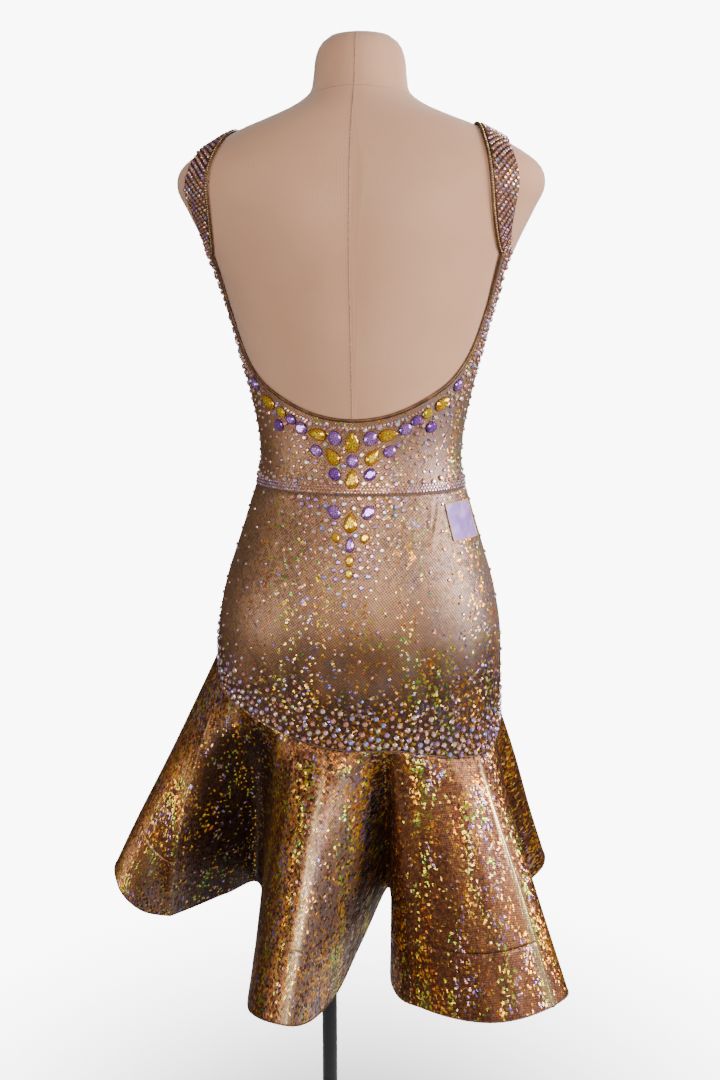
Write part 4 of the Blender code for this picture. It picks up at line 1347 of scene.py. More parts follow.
def make_strap(side, side_name):
    grid, direction = strap_grid(side)
    run = run_along(grid[:, STRAP_COLUMNS // 2])
    STRAP_LENGTHS[side_name] = float(run[-1])
    uv = np.stack([arc_metres(grid), np.broadcast_to(run[:, None], grid.shape[:2])], axis=-1)
    return sheet_piece(f"foil_strap_{side_name}", grid, direction, uv, strap_foil, "foil_cloth",
                       f"strap_{side_name}")


strap_left = make_strap(1, "left")
strap_right = make_strap(-1, "right")
print("strap lengths:", {name: round(length, 3) for name, length in STRAP_LENGTHS.items()}, "m")

# %% [markdown]
# ## The neckline binding
#
# A satin tape is folded over the raw edge, all round the neckline: along the back's U, over
# both shoulders and across the front. A Bezier curve with a bevel could follow the edge, but it
# twists on a path that bends in every way. A flattened tube, whose flat side is kept on the
# cloth's own outward direction at every ring, lies as the tape does.

# %% Binding
BINDING_WIDTH = 0.0044
BINDING_HEIGHT = 0.0026
BINDING_ACROSS = 0.0020     # its middle, inward from the cloth's edge
BINDING_SUNK = 0.0009
TAPE_SIDES = 10


def neckline(table, centre, rows):
    """Angles and heights along a neckline, from the centre up to the strap."""
    z = table[0, 0] + (STRAP_JOIN - table[0, 0]) * np.linspace(0, 1, rows) ** 2
    return neck_angle(table, z, centre), z

# %% Path of the binding
def neck_edge(side):
    """The neckline's edge on one side, from the centre back to the centre front."""
    back_angle, back_z = neckline(BACK_NECK, 0.0, 70)
    front_angle, front_z = (values[::-1] for values in neckline(FRONT_NECK, 180.0, 50))
    strap_points, strap_directions = strap_grid(side)
    points = (worn_cloth_at(back_angle * side, back_z), strap_points[2:-2, 0],
              worn_cloth_at(front_angle * side, front_z))
    directions = (cloth_direction(back_angle * side, back_z), strap_directions[2:-2, 0],
                  cloth_direction(front_angle * side, front_z))
    return np.concatenate(points), np.concatenate(directions)


def even_path(points, directions, gap):
    """Places along a closed path at even gaps."""
    loop, turned = (np.concatenate([values, values[:1]]) for values in (points, directions))
    run = run_along(loop)
    at = np.linspace(0, run[-1], int(run[-1] / gap), endpoint=False)
    return along_path(at, run, loop), unit(along_path(at, run, turned)), at


left_edge, left_out = neck_edge(1)
right_edge, right_out = neck_edge(-1)
edge_points, edge_out, edge_run = even_path(
    np.concatenate([left_edge, right_edge[-2:0:-1]]),
    np.concatenate([left_out, right_out[-2:0:-1]]), 0.0025,
)
along = np.roll(edge_points, -1, axis=0) - np.roll(edge_points, 1, axis=0)
inward = unit(np.cross(along, edge_out))
tape_path = edge_points + inward * BINDING_ACROSS - edge_out * BINDING_SUNK
tape_points, tape_faces = tube_along(tape_path, edge_out, BINDING_WIDTH, BINDING_HEIGHT,
                                     sides=TAPE_SIDES)
tape_uv = np.stack([np.repeat(edge_run, TAPE_SIDES),
                    np.tile(np.arange(TAPE_SIDES) * 0.0012, len(edge_run))], axis=-1)
binding = in_collection("neck_binding_tape",
                        mesh_of("neck_binding_tape", tape_points, tape_faces, tape_uv))
dress_piece(binding, binding_tape, "brown_binding", "neck_binding")
print("binding:", round(edge_run[-1], 3), "m")

# %% [markdown]
# ## The flounce
#
# A circular flounce is a ring cut from flat cloth. Its short inner edge is sewn to the skirt and
# its long outer edge falls in deep round folds. A cloth simulation would make folds of its own;
# here each fold has its place. Straight lines run down the cloth from seam to hem, all 0.30 m
# long, so a table of where each line ends gives every fold and keeps the cloth's depth. The hem
# has a stiff band inside: it keeps the folds open, and its stitching shows as a line.

# %% Lines of the flounce
FOLDS = np.array([
    # seam angle, hem x, hem y
    (-90.0, -0.170, -0.040), (-80.0, -0.220, 0.055), (-70.0, -0.261, 0.115),
    (-58.0, -0.247, 0.150), (-42.0, -0.181, 0.191), (-26.0, -0.093, 0.162),
    (-17.0, -0.052, 0.116), (-12.5, -0.036, -0.036), (-9.0, -0.006, 0.050),
    (-5.0, 0.012, 0.150), (5.0, 0.046, 0.276), (16.0, 0.095, 0.248),
    (24.0, 0.118, 0.120), (32.0, 0.133, -0.010), (43.0, 0.177, 0.012),
    (56.0, 0.241, 0.080), (66.0, 0.268, 0.102), (78.0, 0.291, 0.102),
    (90.0, 0.298, 0.070), (104.0, 0.250, -0.010), (119.0, 0.178, -0.085),
    (136.0, 0.205, -0.200), (148.0, 0.150, -0.205), (160.0, 0.088, -0.140),
    (174.0, 0.040, -0.250), (190.0, -0.050, -0.245), (204.0, -0.082, -0.135),
    (219.0, -0.135, -0.235), (230.0, -0.190, -0.210), (240.0, -0.150, -0.110),
    (250.0, -0.215, -0.150), (262.0, -0.243, -0.118),
])
FLOUNCE_DEPTH = 0.300
SEAM_LENGTH, HEM_LENGTH = 1.00, 2.98
INNER_RADIUS = FLOUNCE_DEPTH * SEAM_LENGTH / (HEM_LENGTH - SEAM_LENGTH)    # of the flat ring
BAND = 0.075            # height of the stiff band in the hem


def flounce_at(angle, down):
    """Middle of the cloth, down from 0 at the seam to 1 at the hem."""
    angle, down = np.broadcast_arrays(np.asarray(angle, float), np.asarray(down, float))
    start = cloth_at(angle, flounce_seam(angle), CLOTH_OUT - CLOTH_THICKNESS / 2)
    x, y = loop_curve(FOLDS, 1, angle), loop_curve(FOLDS, 2, angle)
    level = np.hypot(x - start[..., 0], y - start[..., 1])
    drop = np.sqrt(FLOUNCE_DEPTH ** 2 - level ** 2)
    end = np.stack([x, y, start[..., 2] - drop], axis=-1)
    return start + (end - start) * down[..., None]


def flounce_direction(angle, down):
    return -outward(flounce_at, angle, down, 0.3, 0.01)


RIDGES = (
    # a sharp crease: angle at the seam and at the hem, rise, reach in degrees, strength of its painted highlight
    (-57.5, -56.5, 0.0032, 0.8, 1.00), (69.0, 55.0, 0.0080, 4.0, 0.08),
    (7.0, 6.0, 0.0026, 2.6, 0.30), (143.0, 139.0, 0.0042, 2.6, 0.30),
    (183.0, 180.0, 0.0042, 2.6, 0.30), (222.0, 226.0, 0.0040, 2.4, 0.30),
)
HOLLOW_SHADES = (
    # a wall between folds that takes painted shade: low and high angle at the seam, then at the hem, and how dark the
    # painted shade is
    (27.0, 65.5, 25.0, 51.5, 0.90), (-17.5, -7.0, -17.0, -9.0, 0.25),
    (106.0, 133.0, 104.0, 129.0, 0.60), (152.0, 170.0, 152.0, 168.0, 0.55),
    (196.0, 212.0, 196.0, 212.0, 0.55), (232.0, 250.0, 233.0, 248.0, 0.60),
)
CREST_REACH = 0.95      # degrees

# %% Shapes of creases and hollows
def off_ridge(angle, down, top, bottom):
    """Degrees away from a crease that runs from one angle at the seam to one at the hem."""
    return np.abs(signed(angle - top - (bottom - top) * down))


def ridge_rise(angle, down):
    """Rise of the sharp creases, which fade in below the seam."""
    rise = 0.0
    for top, bottom, height, reach, _ in RIDGES:
        away = off_ridge(angle, down, top, bottom)
        rise = rise + height * np.exp(-np.hypot(away, 0.12) / reach)
    return rise * np.clip(down * 1.6, 0, 1) ** 1.3


def crest_highlight_share(angle, down):
    """How much painted highlight a place takes on the very line of a sharp crease, from 0 to 1."""
    share = 0.0
    for top, bottom, _, _, highlight_strength in RIDGES:
        away = off_ridge(angle, down, top, bottom)
        share = share + highlight_strength * np.exp(-((away / CREST_REACH) ** 2))
    return share * np.clip(down * 5.0, 0, 1)


def hollow_shade_share(angle, down):
    """How much painted shade a place takes on a wall between two folds, from 0 to 1."""
    share = 0.0
    for low_top, high_top, low_hem, high_hem, darkness in HOLLOW_SHADES:
        low = low_top + (low_hem - low_top) * down
        high = high_top + (high_hem - high_top) * down
        away = np.abs(signed(angle - (low + high) / 2)) / ((high - low) / 2)
        share = share + darkness * np.exp(-away ** 8)
    return share * np.clip(down * 7.0, 0, 1)


def flounce_relief(angle, down):
    """Small rises of the cloth: the band's stitch line, puckers at the seam, slight waves."""
    depth = down * FLOUNCE_DEPTH
    line = depth - (FLOUNCE_DEPTH - BAND)
    stitched = 0.0001 * np.exp(-((line - 0.0030) / 0.0020) ** 2)
    stitched = stitched - 0.0008 * np.exp(-(line / 0.0011) ** 2)
    pucker = 0.0005 * np.sin(np.radians(angle * 41)) * np.sin(np.radians(angle * 17 + 40))
    pucker = pucker * np.exp(-depth / 0.012)
    wave = 0.0011 * np.sin(np.radians(angle * 7 + down * 240))
    wave = wave + 0.0007 * np.sin(np.radians(angle * 13 - down * 420 + 60))
    wave = wave * np.sin(np.pi * np.clip(down, 0, 1)) ** 0.7
    return stitched + pucker + wave + ridge_rise(angle, down)


print("flat ring: inner radius", round(INNER_RADIUS, 4), "m, depth", FLOUNCE_DEPTH, "m")

# %% Flounce halves
FLOUNCE_COLUMN, CREASE_COLUMN = 0.5, 0.17   # degrees of the seam
line_place = 1 - BAND / FLOUNCE_DEPTH
line_rows = line_place + np.array(
    [-0.0035, -0.002, -0.001, 0, 0.001, 0.002, 0.0035, 0.006]) / FLOUNCE_DEPTH
flounce_rows = edge_steps(FLOUNCE_DEPTH, 0.0062) / FLOUNCE_DEPTH
flounce_rows = flounce_rows[(flounce_rows < line_rows[0] - 0.005)
                            | (flounce_rows > line_rows[-1] + 0.005)]
flounce_rows = np.sort(np.concatenate([flounce_rows, line_rows]))


def flounce_columns(middle):
    """Angles of a half's columns, closer together beside a sharp crease."""
    angle = np.linspace(middle - SIDE_SEAM, middle + SIDE_SEAM, int(180 / FLOUNCE_COLUMN) + 1)
    for top, bottom, *_ in RIDGES:
        low, high = sorted(middle + signed(end - middle) for end in (top, bottom))
        low, high = low - 1.0, high + 1.0
        if abs((low + high) / 2 - middle) < SIDE_SEAM - 8:
            angle = angle[(angle < low - 0.01) | (angle > high + 0.01)]
            closer = np.linspace(low, high, round((high - low) / CREASE_COLUMN))
            angle = np.concatenate([angle, closer])
    return np.sort(angle)


def make_flounce(name, middle):
    angle = flounce_columns(middle)
    angle, down = np.broadcast_arrays(angle[None, :], flounce_rows[:, None])
    direction = flounce_direction(angle, down)
    sink = turned_in(down * FLOUNCE_DEPTH)
    from_side = (SIDE_SEAM - np.abs(angle - middle)) * (0.0028 + 0.0055 * down)
    sink = np.maximum(sink + turned_in(from_side), -EDGE_SINK)
    rise = CLOTH_THICKNESS / 2 + flounce_relief(angle, down) + sink
    grid = flounce_at(angle, down) + direction * rise[..., None]
    seam_run = arc_metres(flounce_at(angle[:1], down[:1]))
    turn = (seam_run - seam_run[:, -1:] / 2) / INNER_RADIUS
    radius = INNER_RADIUS + down * FLOUNCE_DEPTH
    uv = np.stack([radius * np.sin(turn), radius * np.cos(turn)], axis=-1)
    piece = sheet_piece(f"foil_{name}", grid, direction, uv, flounce_foil, "foil_cloth", name)
    # The creases' painted highlight and the hollows' painted shade are stored on the points.
    for attribute, share in (("crest", crest_highlight_share), ("hollow", hollow_shade_share)):
        values = piece.data.attributes.new(attribute, "FLOAT", "POINT").data
        values.foreach_set("value", share(angle, down).ravel())
    return piece


flounce_back = make_flounce("flounce_back", 0.0)
flounce_front = make_flounce("flounce_front", 180.0)

# %% [markdown]
# ### Hem edge and stitches
#
# The hem is turned and closed with a narrow edge. Stitches could be dashes in the cloth's
# colour, but real thread stands up and catches light. So each stitch is a small block with
# sloping ends, and all of a row are one mesh: along the top of the stiff band, and under the
# flounce's seam.

# %% Hem edge
STITCH_LENGTH, STITCH_GAP = 0.0030, 0.0044
STITCH_WIDTH, STITCH_HEIGHT = 0.0007, 0.0005
HEM_PLACE = 0.997       # down the flounce
HEM_RINGS, HEM_SIDES = 420, 8


def make_hem_edge(name, middle):
    angle = np.linspace(middle - SIDE_SEAM, middle + SIDE_SEAM, HEM_RINGS)
    out = flounce_direction(angle, HEM_PLACE)
    path = flounce_at(angle, HEM_PLACE) + out * ridge_rise(angle, HEM_PLACE)[:, None]
    points, faces = tube_along(path, out, 0.0022, 0.0020, sides=HEM_SIDES, closed=False)
    uv = np.stack([np.repeat(np.arange(HEM_RINGS) * 0.0035, HEM_SIDES),
                   np.tile(np.arange(HEM_SIDES) * 0.0008, HEM_RINGS)], axis=-1)
    piece = in_collection(name, mesh_of(name, points, faces, uv))
    return dress_piece(piece, binding_tape, "brown_binding")

# %% Stitches, and a dark cord for a seam's shadow
def make_stitches(name, angles, down, gap=STITCH_GAP):
    """Dashes of thread along a line round the flounce."""
    run = run_along(flounce_at(angles, down))
    starts = np.arange(gap, run[-1] - gap, gap)
    at = np.interp(np.stack([starts, starts + STITCH_LENGTH]), run, angles)
    heads, tails = (flounce_at(row, down) for row in at)
    out = flounce_direction(at[0], down)
    along_stitch = unit(tails - heads)
    across = np.cross(out, along_stitch) * STITCH_WIDTH / 2
    rise = [flounce_relief(row, down) for row in at]
    foot = CLOTH_THICKNESS / 2 - 0.0003
    corners = []
    for end, up, inset in ((heads, rise[0], 1), (tails, rise[1], -1)):
        low = end + out * (foot + up)[:, None]
        high = low + out * STITCH_HEIGHT + along_stitch * inset * 0.0004
        corners += [low - across, low + across, high + across * 0.7, high - across * 0.7]
    points = np.stack(corners, axis=1).reshape(-1, 3)
    one = np.array([(0, 1, 2, 3), (7, 6, 5, 4), (0, 4, 5, 1), (1, 5, 6, 2), (2, 6, 7, 3),
                    (3, 7, 4, 0)])
    faces = (one[None] + np.arange(len(starts))[:, None, None] * 8).reshape(-1, 4)
    piece = in_collection(name, mesh_of(name, points, faces))
    return dress_piece(piece, dark_seam)


def groove_shadow_cord(name, angle, z, height, closed=True):
    """A dark cord in the groove between two panels, standing for the shadow along the seam."""
    return cord_piece(name, worn_cloth_at(angle, z, -0.0009), cloth_direction(angle, z), 0.0024,
                      height, dark_seam, closed=closed)


hem_pieces = {}
for half_name, half_middle in (("back", 0.0), ("front", 180.0)):
    half_angles = np.linspace(half_middle - 89.4, half_middle + 89.4, 900)
    seam_angles = np.linspace(half_middle - SIDE_SEAM, half_middle + SIDE_SEAM, 300)
    hem_pieces[half_name] = [
        make_hem_edge(f"hem_edge_{half_name}", half_middle),
        # The dark cord in the flounce seam's groove is painted shadow.
        groove_shadow_cord(f"flounce_seam_shadow_cord_{half_name}", seam_angles, flounce_seam(seam_angles),
                      0.0014, closed=False),
        make_stitches(f"band_stitches_{half_name}", half_angles, line_place),
        make_stitches(f"seam_stitches_{half_name}", half_angles, 0.0075, gap=0.0038),
    ]
print("hem pieces:", [piece.name for pieces in hem_pieces.values() for piece in pieces])

# %% [markdown]
# ## The hip label
#
# A blank lavender label with a narrow gold edge is stitched flat on the right hip. A plane would
# cut into the round hip, so the label's points are taken from the cloth beside its middle and
# moved out, with slight waves of its own.

# %% Label
LABEL_ANGLE, LABEL_MIDDLE = -66.0, 0.966
LABEL_WIDTH, LABEL_HEIGHT = 0.048, 0.042
LABEL_OUT = 0.0012


def beside(angle, z, across, up, out=0.0):
    """Points of the worn cloth beside a place: across to the wearer's left, and up."""
    two_degrees = cloth_at(angle + 1, z, CLOTH_OUT) - cloth_at(angle - 1, z, CLOTH_OUT)
    a_degree = np.linalg.norm(two_degrees, axis=-1) / 2
    return worn_cloth_at(angle + across / a_degree, z + up, out)


label_u = np.linspace(-LABEL_WIDTH / 2, LABEL_WIDTH / 2, 49)[None, :]
label_v = np.linspace(-LABEL_HEIGHT / 2, LABEL_HEIGHT / 2, 43)[:, None]
label_wave = 0.00025 * np.sin(label_u * 420 + label_v * 160 + 1.0) * np.sin(label_v * 250)
label_grid = beside(LABEL_ANGLE, LABEL_MIDDLE, label_u, label_v, LABEL_OUT + label_wave)
label_direction = cloth_direction(LABEL_ANGLE, LABEL_MIDDLE)
label_uv = np.stack(np.broadcast_arrays(label_u, label_v), axis=-1)
label = sheet_piece("blank_hip_label", label_grid,
                    np.broadcast_to(label_direction, label_grid.shape), label_uv, label_film,
                    "label_film", "hip_label")

corner_u = np.array((-1, 1, 1, -1, -1)) * (LABEL_WIDTH / 2 - 0.0004)
corner_v = np.array((-1, -1, 1, 1, -1)) * (LABEL_HEIGHT / 2 - 0.0004)
edge_at = np.linspace(0, 4, 120, endpoint=False)
frame_u = np.interp(edge_at, np.arange(5), corner_u)
frame_v = np.interp(edge_at, np.arange(5), corner_v)
frame_path = beside(LABEL_ANGLE, LABEL_MIDDLE, frame_u, frame_v, LABEL_OUT + 0.0001)
label_edge = cord_piece("label_gold_edge", frame_path,
                        np.tile(label_direction, (len(edge_at), 1)), 0.0014, 0.0008,
                        gold_thread, "label_film")

# %% [markdown]
# ## Stones
#
# Two sorts of stones are on the dress. Large sew-on stones are amber drops and lilac ovals with
# a flat table and cut sides. Small flat-backed stones have six sides. Thousands of objects, or
# real glass that bends light, would be slow. So one function sets any number of stones as one
# mesh: a template is turned, sized and moved to each place, and every face gets its own share
# of the stone's colour. The shares are painted light and shade: they stand in for the bright and
# dark faces that cut glass with foil behind it shows.

# %% Stone finish
def make_cut_glass(name, metallic, roughness, milky):
    material, tree, shader = new_finish(name)
    # The vertex colour holds each stone's tint with the painted light and shade of its faces.
    tint = add_node(tree, "ShaderNodeVertexColor", layer_name="tint").outputs[0]
    cloud = noise(tree, object_place(tree), 600.0, 1.0)[0]
    set_inputs(tree, shader, {
        "Base Color": blended(tree, spread(tree, cloud, 0.35, 0.65, 0.0, milky), tint, (1, 1, 1)),
        "Roughness": spread(tree, cloud, 0.3, 0.7, roughness, roughness + 0.06),
        "Metallic": metallic, "IOR": 1.7, "Coat Weight": 0.25, "Coat Roughness": 0.03,
    })
    return material


large_glass = make_cut_glass("foiled_cut_glass", 0.62, 0.12, 0.03)
small_glass = make_cut_glass("rainbow_coated_glass", 0.50, 0.20, 0.12)


def set_stones(name, template, centres, outs, tops, sizes, tints, finish, seed):
    """One mesh of stones. The template is (points, faces, share of painted light for each face)."""
    unit_points, unit_faces, facet_light = template
    rng = np.random.default_rng(seed)
    side = unit(np.cross(tops, outs))
    tops = np.cross(outs, side)
    local = unit_points[None] * sizes[:, None, :]
    points = (centres[:, None] + local[..., 0:1] * side[:, None] + local[..., 1:2] * tops[:, None]
              + local[..., 2:3] * outs[:, None]).reshape(-1, 3)
    count = len(unit_points)
    faces = [tuple(k + at * count for k in face) for at in range(len(centres))
             for face in unit_faces]
    mesh = mesh_of(name, points, faces, smooth=False)
    # Each face's colour is the stone's tint times its painted light share, spread a little at random.
    tint = np.repeat(tints, len(unit_faces), axis=0) * np.tile(facet_light, len(centres))[:, None]
    tint = np.clip(tint * rng.uniform(0.78, 1.18, (len(tint), 1)), 0, 1)
    corner_tint_and_light = np.repeat(tint, [len(face) for face in faces], axis=0)
    layer = mesh.color_attributes.new("tint", "FLOAT_COLOR", "CORNER")
    rgba = np.concatenate([corner_tint_and_light, np.ones((len(corner_tint_and_light), 1))], axis=1)
    layer.data.foreach_set("color", rgba.astype(np.float32).ravel())
    print(f"{name}: {len(centres)} stones, {len(faces)} faces")
    return dress_piece(in_collection(name, mesh), finish)


# %% Outline of a large stone
GEM_SIDES = 14


def gem_outline(shape, turns):
    """Outline of a stone in half widths and half lengths; a drop points up."""
    narrow = np.sin(turns / 2) ** 0.6 if shape == "drop" else 1.0
    return np.stack([np.sin(turns) * narrow, np.cos(turns)], axis=-1)

# %% A cut stone
def gem_template(shape):
    """Rings of points from the stone's back to its table, with cut faces between them."""
    turns = np.arange(GEM_SIDES) * 2 * np.pi / GEM_SIDES
    half = np.pi / GEM_SIDES
    shift = np.array((0.0, -0.10)) if shape == "drop" else np.zeros(2)
    # size, height and turn of the rings: back, girdle, crown and table
    rings = ((1.09, -0.0004, 0.0), (1.00, 0.0012, 0.0), (0.84, 0.0026, half), (0.54, 0.0040, 0.0))
    points = []
    for size, height, turned in rings:
        flat = gem_outline(shape, turns + turned) * size + shift * (1 - size)
        points.append(np.column_stack([flat, np.full(GEM_SIDES, height)]))
    points.append(np.array([[*shift * 0.5, 0.0040]]))
    faces, facet_light = [], []
    for k in range(GEM_SIDES):
        n = (k + 1) % GEM_SIDES
        back, girdle, crown, table = (ring * GEM_SIDES for ring in range(4))
        # Each face's share of colour is painted light and shade: dark at the back, lighter up to the table, with a
        # star of bright and dark faces on the table.
        faces.append((back + k, back + n, girdle + n, girdle + k))
        facet_light.append(0.12)
        faces.append((girdle + k, girdle + n, crown + k))
        facet_light.append(0.34)
        faces.append((girdle + n, crown + n, crown + k))
        facet_light.append(0.95)
        faces.append((crown + k, table + n, table + k))
        facet_light.append(1.15)
        faces.append((crown + k, crown + n, table + n))
        facet_light.append(0.50)
        faces.append((table + k, table + n, 4 * GEM_SIDES))
        facet_light.append((1.50, 0.55, 2.10, 0.42)[k % 4])
    points = np.concatenate(points)
    corners = np.array([points[list(face[:3])] for face in faces])
    normals = np.cross(corners[:, 1] - corners[:, 0], corners[:, 2] - corners[:, 0])
    middle = corners.mean(axis=1) - (0, 0, -0.001)
    faces = [face if n @ (m * (0.01, 0.01, 1.0)) > 0 else face[::-1]
             for face, n, m in zip(faces, normals, middle)]
    return points, faces, np.array(facet_light)


AMBER, PALE_AMBER = (1.00, 0.42, 0.0), (1.00, 0.54, 0.01)
LILAC, VIOLET = (0.46, 0.19, 0.62), (0.28, 0.09, 0.46)
LARGE_STONES = (
    # shape, angle, height, width, length, turn, colour
    ("drop", 0.0, 1.0600, 0.0190, 0.0240, 0.0, AMBER),
    ("oval", 9.6, 1.0640, 0.0150, 0.0175, 30.0, LILAC),
    ("drop", 11.0, 1.0430, 0.0170, 0.0215, 35.0, AMBER),
    ("oval", 0.0, 1.0380, 0.0140, 0.0150, 0.0, LILAC),
    ("drop", 0.0, 1.0180, 0.0180, 0.0225, 0.0, AMBER),
    ("drop", 19.4, 1.0680, 0.0165, 0.0225, 75.0, AMBER),
    ("oval", 28.9, 1.0746, 0.0140, 0.0160, 60.0, LILAC),
    ("oval", 34.8, 1.0840, 0.0115, 0.0140, 55.0, VIOLET),
    ("oval", 41.0, 1.0920, 0.0115, 0.0140, 45.0, PALE_AMBER),
    ("drop", 50.5, 1.1030, 0.0165, 0.0220, 50.0, AMBER),
    ("oval", 60.0, 1.1230, 0.0120, 0.0150, 30.0, LILAC),
    ("oval", 45.0, 1.0760, 0.0130, 0.0150, 60.0, VIOLET),
    ("drop", 0.0, 0.9700, 0.0180, 0.0230, 0.0, AMBER),
    ("oval", 8.6, 0.9810, 0.0135, 0.0175, 40.0, LILAC),
    ("drop", 0.0, 0.9460, 0.0125, 0.0180, 0.0, LILAC),
    ("oval", 9.6, 1.0230, 0.0130, 0.0155, 40.0, VIOLET),
    ("oval", 20.5, 1.0490, 0.0130, 0.0155, 50.0, LILAC),
    ("oval", 6.4, 0.9530, 0.0095, 0.0120, 30.0, AMBER),
    ("oval", 0.0, 0.9280, 0.0095, 0.0130, 0.0, AMBER),
    ("oval", 0.0, 0.9140, 0.0085, 0.0115, 0.0, PALE_AMBER),
)

# %% Setting the large stones
def large_stone_places():
    """Every large stone with its twin on the other side."""
    places = []
    for shape, angle, z, width, length, turn, colour in LARGE_STONES:
        for side in ((1, -1) if angle else (1,)):
            centre = worn_cloth_at(angle * side, z)
            out = cloth_direction(angle * side, z)
            up = worn_cloth_at(angle * side, z + 0.002) - centre
            up = unit(up - out * (up @ out))
            left = np.cross(up, out)
            lean = math.radians(turn * side)
            top = up * math.cos(lean) - left * math.sin(lean)
            places.append((shape, centre, out, top, (width / 2, length / 2, 1.0), colour))
    return places


large_places = large_stone_places()
for shape, piece_name in (("drop", "amber_drops"), ("oval", "lilac_and_amber_ovals")):
    chosen = [place for place in large_places if place[0] == shape]
    columns = [np.array(column) for column in list(zip(*chosen))[1:]]
    set_stones(piece_name, gem_template(shape), *columns, large_glass, seed=len(chosen))

# %% [markdown]
# ### Small stones
#
# Small stones are set by hand, so they keep a distance from each other but follow no grid.
# Scattering with Geometry Nodes has one least distance; here it changes from place to place.
# Many places are tried in a fixed random order, and one is kept if no other stone is nearer than
# the spacing wanted there: tight along edges and in the middle, wide on the hips.

# %% A small stone
SMALL, MEDIUM = 0.0021, 0.0034      # radius
ROSE, PEARL, BLUE, MAUVE, HONEY = (
    (0.86, 0.28, 0.20), (0.96, 0.60, 0.50), (0.44, 0.44, 0.86), (0.58, 0.26, 0.58),
    (0.88, 0.36, 0.09),
)


def small_template(sides=6):
    turns = np.arange(sides) * 2 * np.pi / sides
    rings = ((1.0, 0.0, 0.0), (1.0, 0.35, 0.0), (0.56, 0.80, np.pi / sides))
    points = np.concatenate([
        np.column_stack([np.sin(turns + turned) * size, np.cos(turns + turned) * size,
                         np.full(sides, height)])
        for size, height, turned in rings
    ])
    faces, facet_light = [], []
    for k in range(sides):
        n = (k + 1) % sides
        # Each face's share of colour is painted light and shade: dark sides, a lighter crown, the brightest table.
        faces += [(n, k, sides + k, sides + n), (sides + n, sides + k, 2 * sides + k),
                  (sides + n, 2 * sides + k, 2 * sides + n)]
        facet_light += [0.16, 0.60, 0.32]
    faces.append(tuple(range(3 * sides - 1, 2 * sides - 1, -1)))
    facet_light.append(1.15)
    return points, faces, np.array(facet_light)

# %% Keeping a distance
def tree_of(points):
    tree = kdtree.KDTree(len(points))
    for k, point in enumerate(points):
        tree.insert(point, k)
    tree.balance()
    return tree


def distance_to(points, tree):
    return np.array([tree.find(point)[2] for point in points])


def clear_of_large(points, margin):
    """True where a small stone would lie beside every large one."""
    clear = np.ones(len(points), bool)
    for _, centre, out, top, (half_width, half_length, _), _ in large_places:
        away = points - centre
        side = np.cross(top, out)
        u, v = away @ side / (half_width + margin), away @ top / (half_length + margin)
        clear &= (np.hypot(u, v) > 1) | (np.abs(away @ out) > 0.02)
    return clear


def scattered(points, spacing, taken=()):
    """Which places to keep so that each keeps its spacing, and more from the taken larger ones."""
    count = len(taken)
    kept, more = np.empty((count + len(points), 3)), np.zeros(count + len(points))
    kept[:count] = np.reshape(taken, (-1, 3))
    more[:count] = MEDIUM - SMALL
    chosen = []
    for k, (point, gap) in enumerate(zip(points, spacing)):
        away = np.linalg.norm(kept[:count] - point, axis=1)
        if (away >= gap + more[:count]).all():
            kept[count] = point
            count += 1
            chosen.append(k)
    return np.array(chosen, int)

# %% Colour and setting
def tints_for(rng, count, weights):
    """Colours of rainbow-coated stones, by how often each turns up."""
    palette = np.array((ROSE, PEARL, BLUE, MAUVE, HONEY))
    return palette[rng.choice(len(palette), count, p=np.array(weights) / sum(weights))]


def set_small(name, centres, outs, radii, tints, seed):
    rng = np.random.default_rng(seed)
    spin = rng.uniform(0, 2 * np.pi, len(centres))
    helper = np.column_stack([np.cos(spin), 0.3 + 0 * spin, np.sin(spin)])
    sizes = np.repeat((radii * rng.uniform(0.94, 1.08, len(radii)))[:, None], 3, axis=1)
    tilt = unit(outs + rng.normal(0, 0.05, outs.shape))
    return set_stones(name, small_template(), centres - outs * 0.0001, tilt, helper, sizes,
                      tints, small_glass, seed)


print("small stones:", round(SMALL * 2000, 1), "and", round(MEDIUM * 2000, 1), "mm across")

# %% [markdown]
# The bodice's stones crowd along the neckline and the middle of the back and thin out towards
# the sides. The skirt's run down from the waist in a narrowing point, lie thinly over the hips
# and crowd again above the flounce's seam.

# %% Tables of spacing
# Spacing at a distance, both in millimetres. On the bodice:
GAP_BY_EDGE = ((0, 4.5), (12, 4.8), (26, 5.6), (45, 9.5), (80, 13.0))
GAP_BY_WAIST = ((0, 4.6), (14, 5.6), (28, 9.0), (50, 13.0))
GAP_BY_CENTRE = ((0, 4.6), (44, 5.0), (66, 7.5), (95, 12.0))
# On the skirt, where the point's half width narrows with the drop from the waist:
POINT_DROPS, POINT_WIDTHS = (0.0, 0.05, 0.11, 0.17, 0.22), (0.070, 0.042, 0.022, 0.010, 0.002)
GAP_BY_POINT = ((-20, 4.9), (-6, 5.6), (4, 8.0), (22, 15.0), (50, 22.0))
GAP_MORE_BY_DROP = ((0, 0), (90, 1.0), (150, 4.5), (220, 14.0))
GAP_BY_FLOUNCE = ((0, 4.6), (22, 5.4), (42, 7.4), (64, 11.0), (90, 20.0))
WIDEST_GAP = 22.0


def gap_at(distance, stops):
    """Spacing at a distance, from a table of stops."""
    places, values = zip(*stops)
    return np.interp(distance * 1000, places, values)

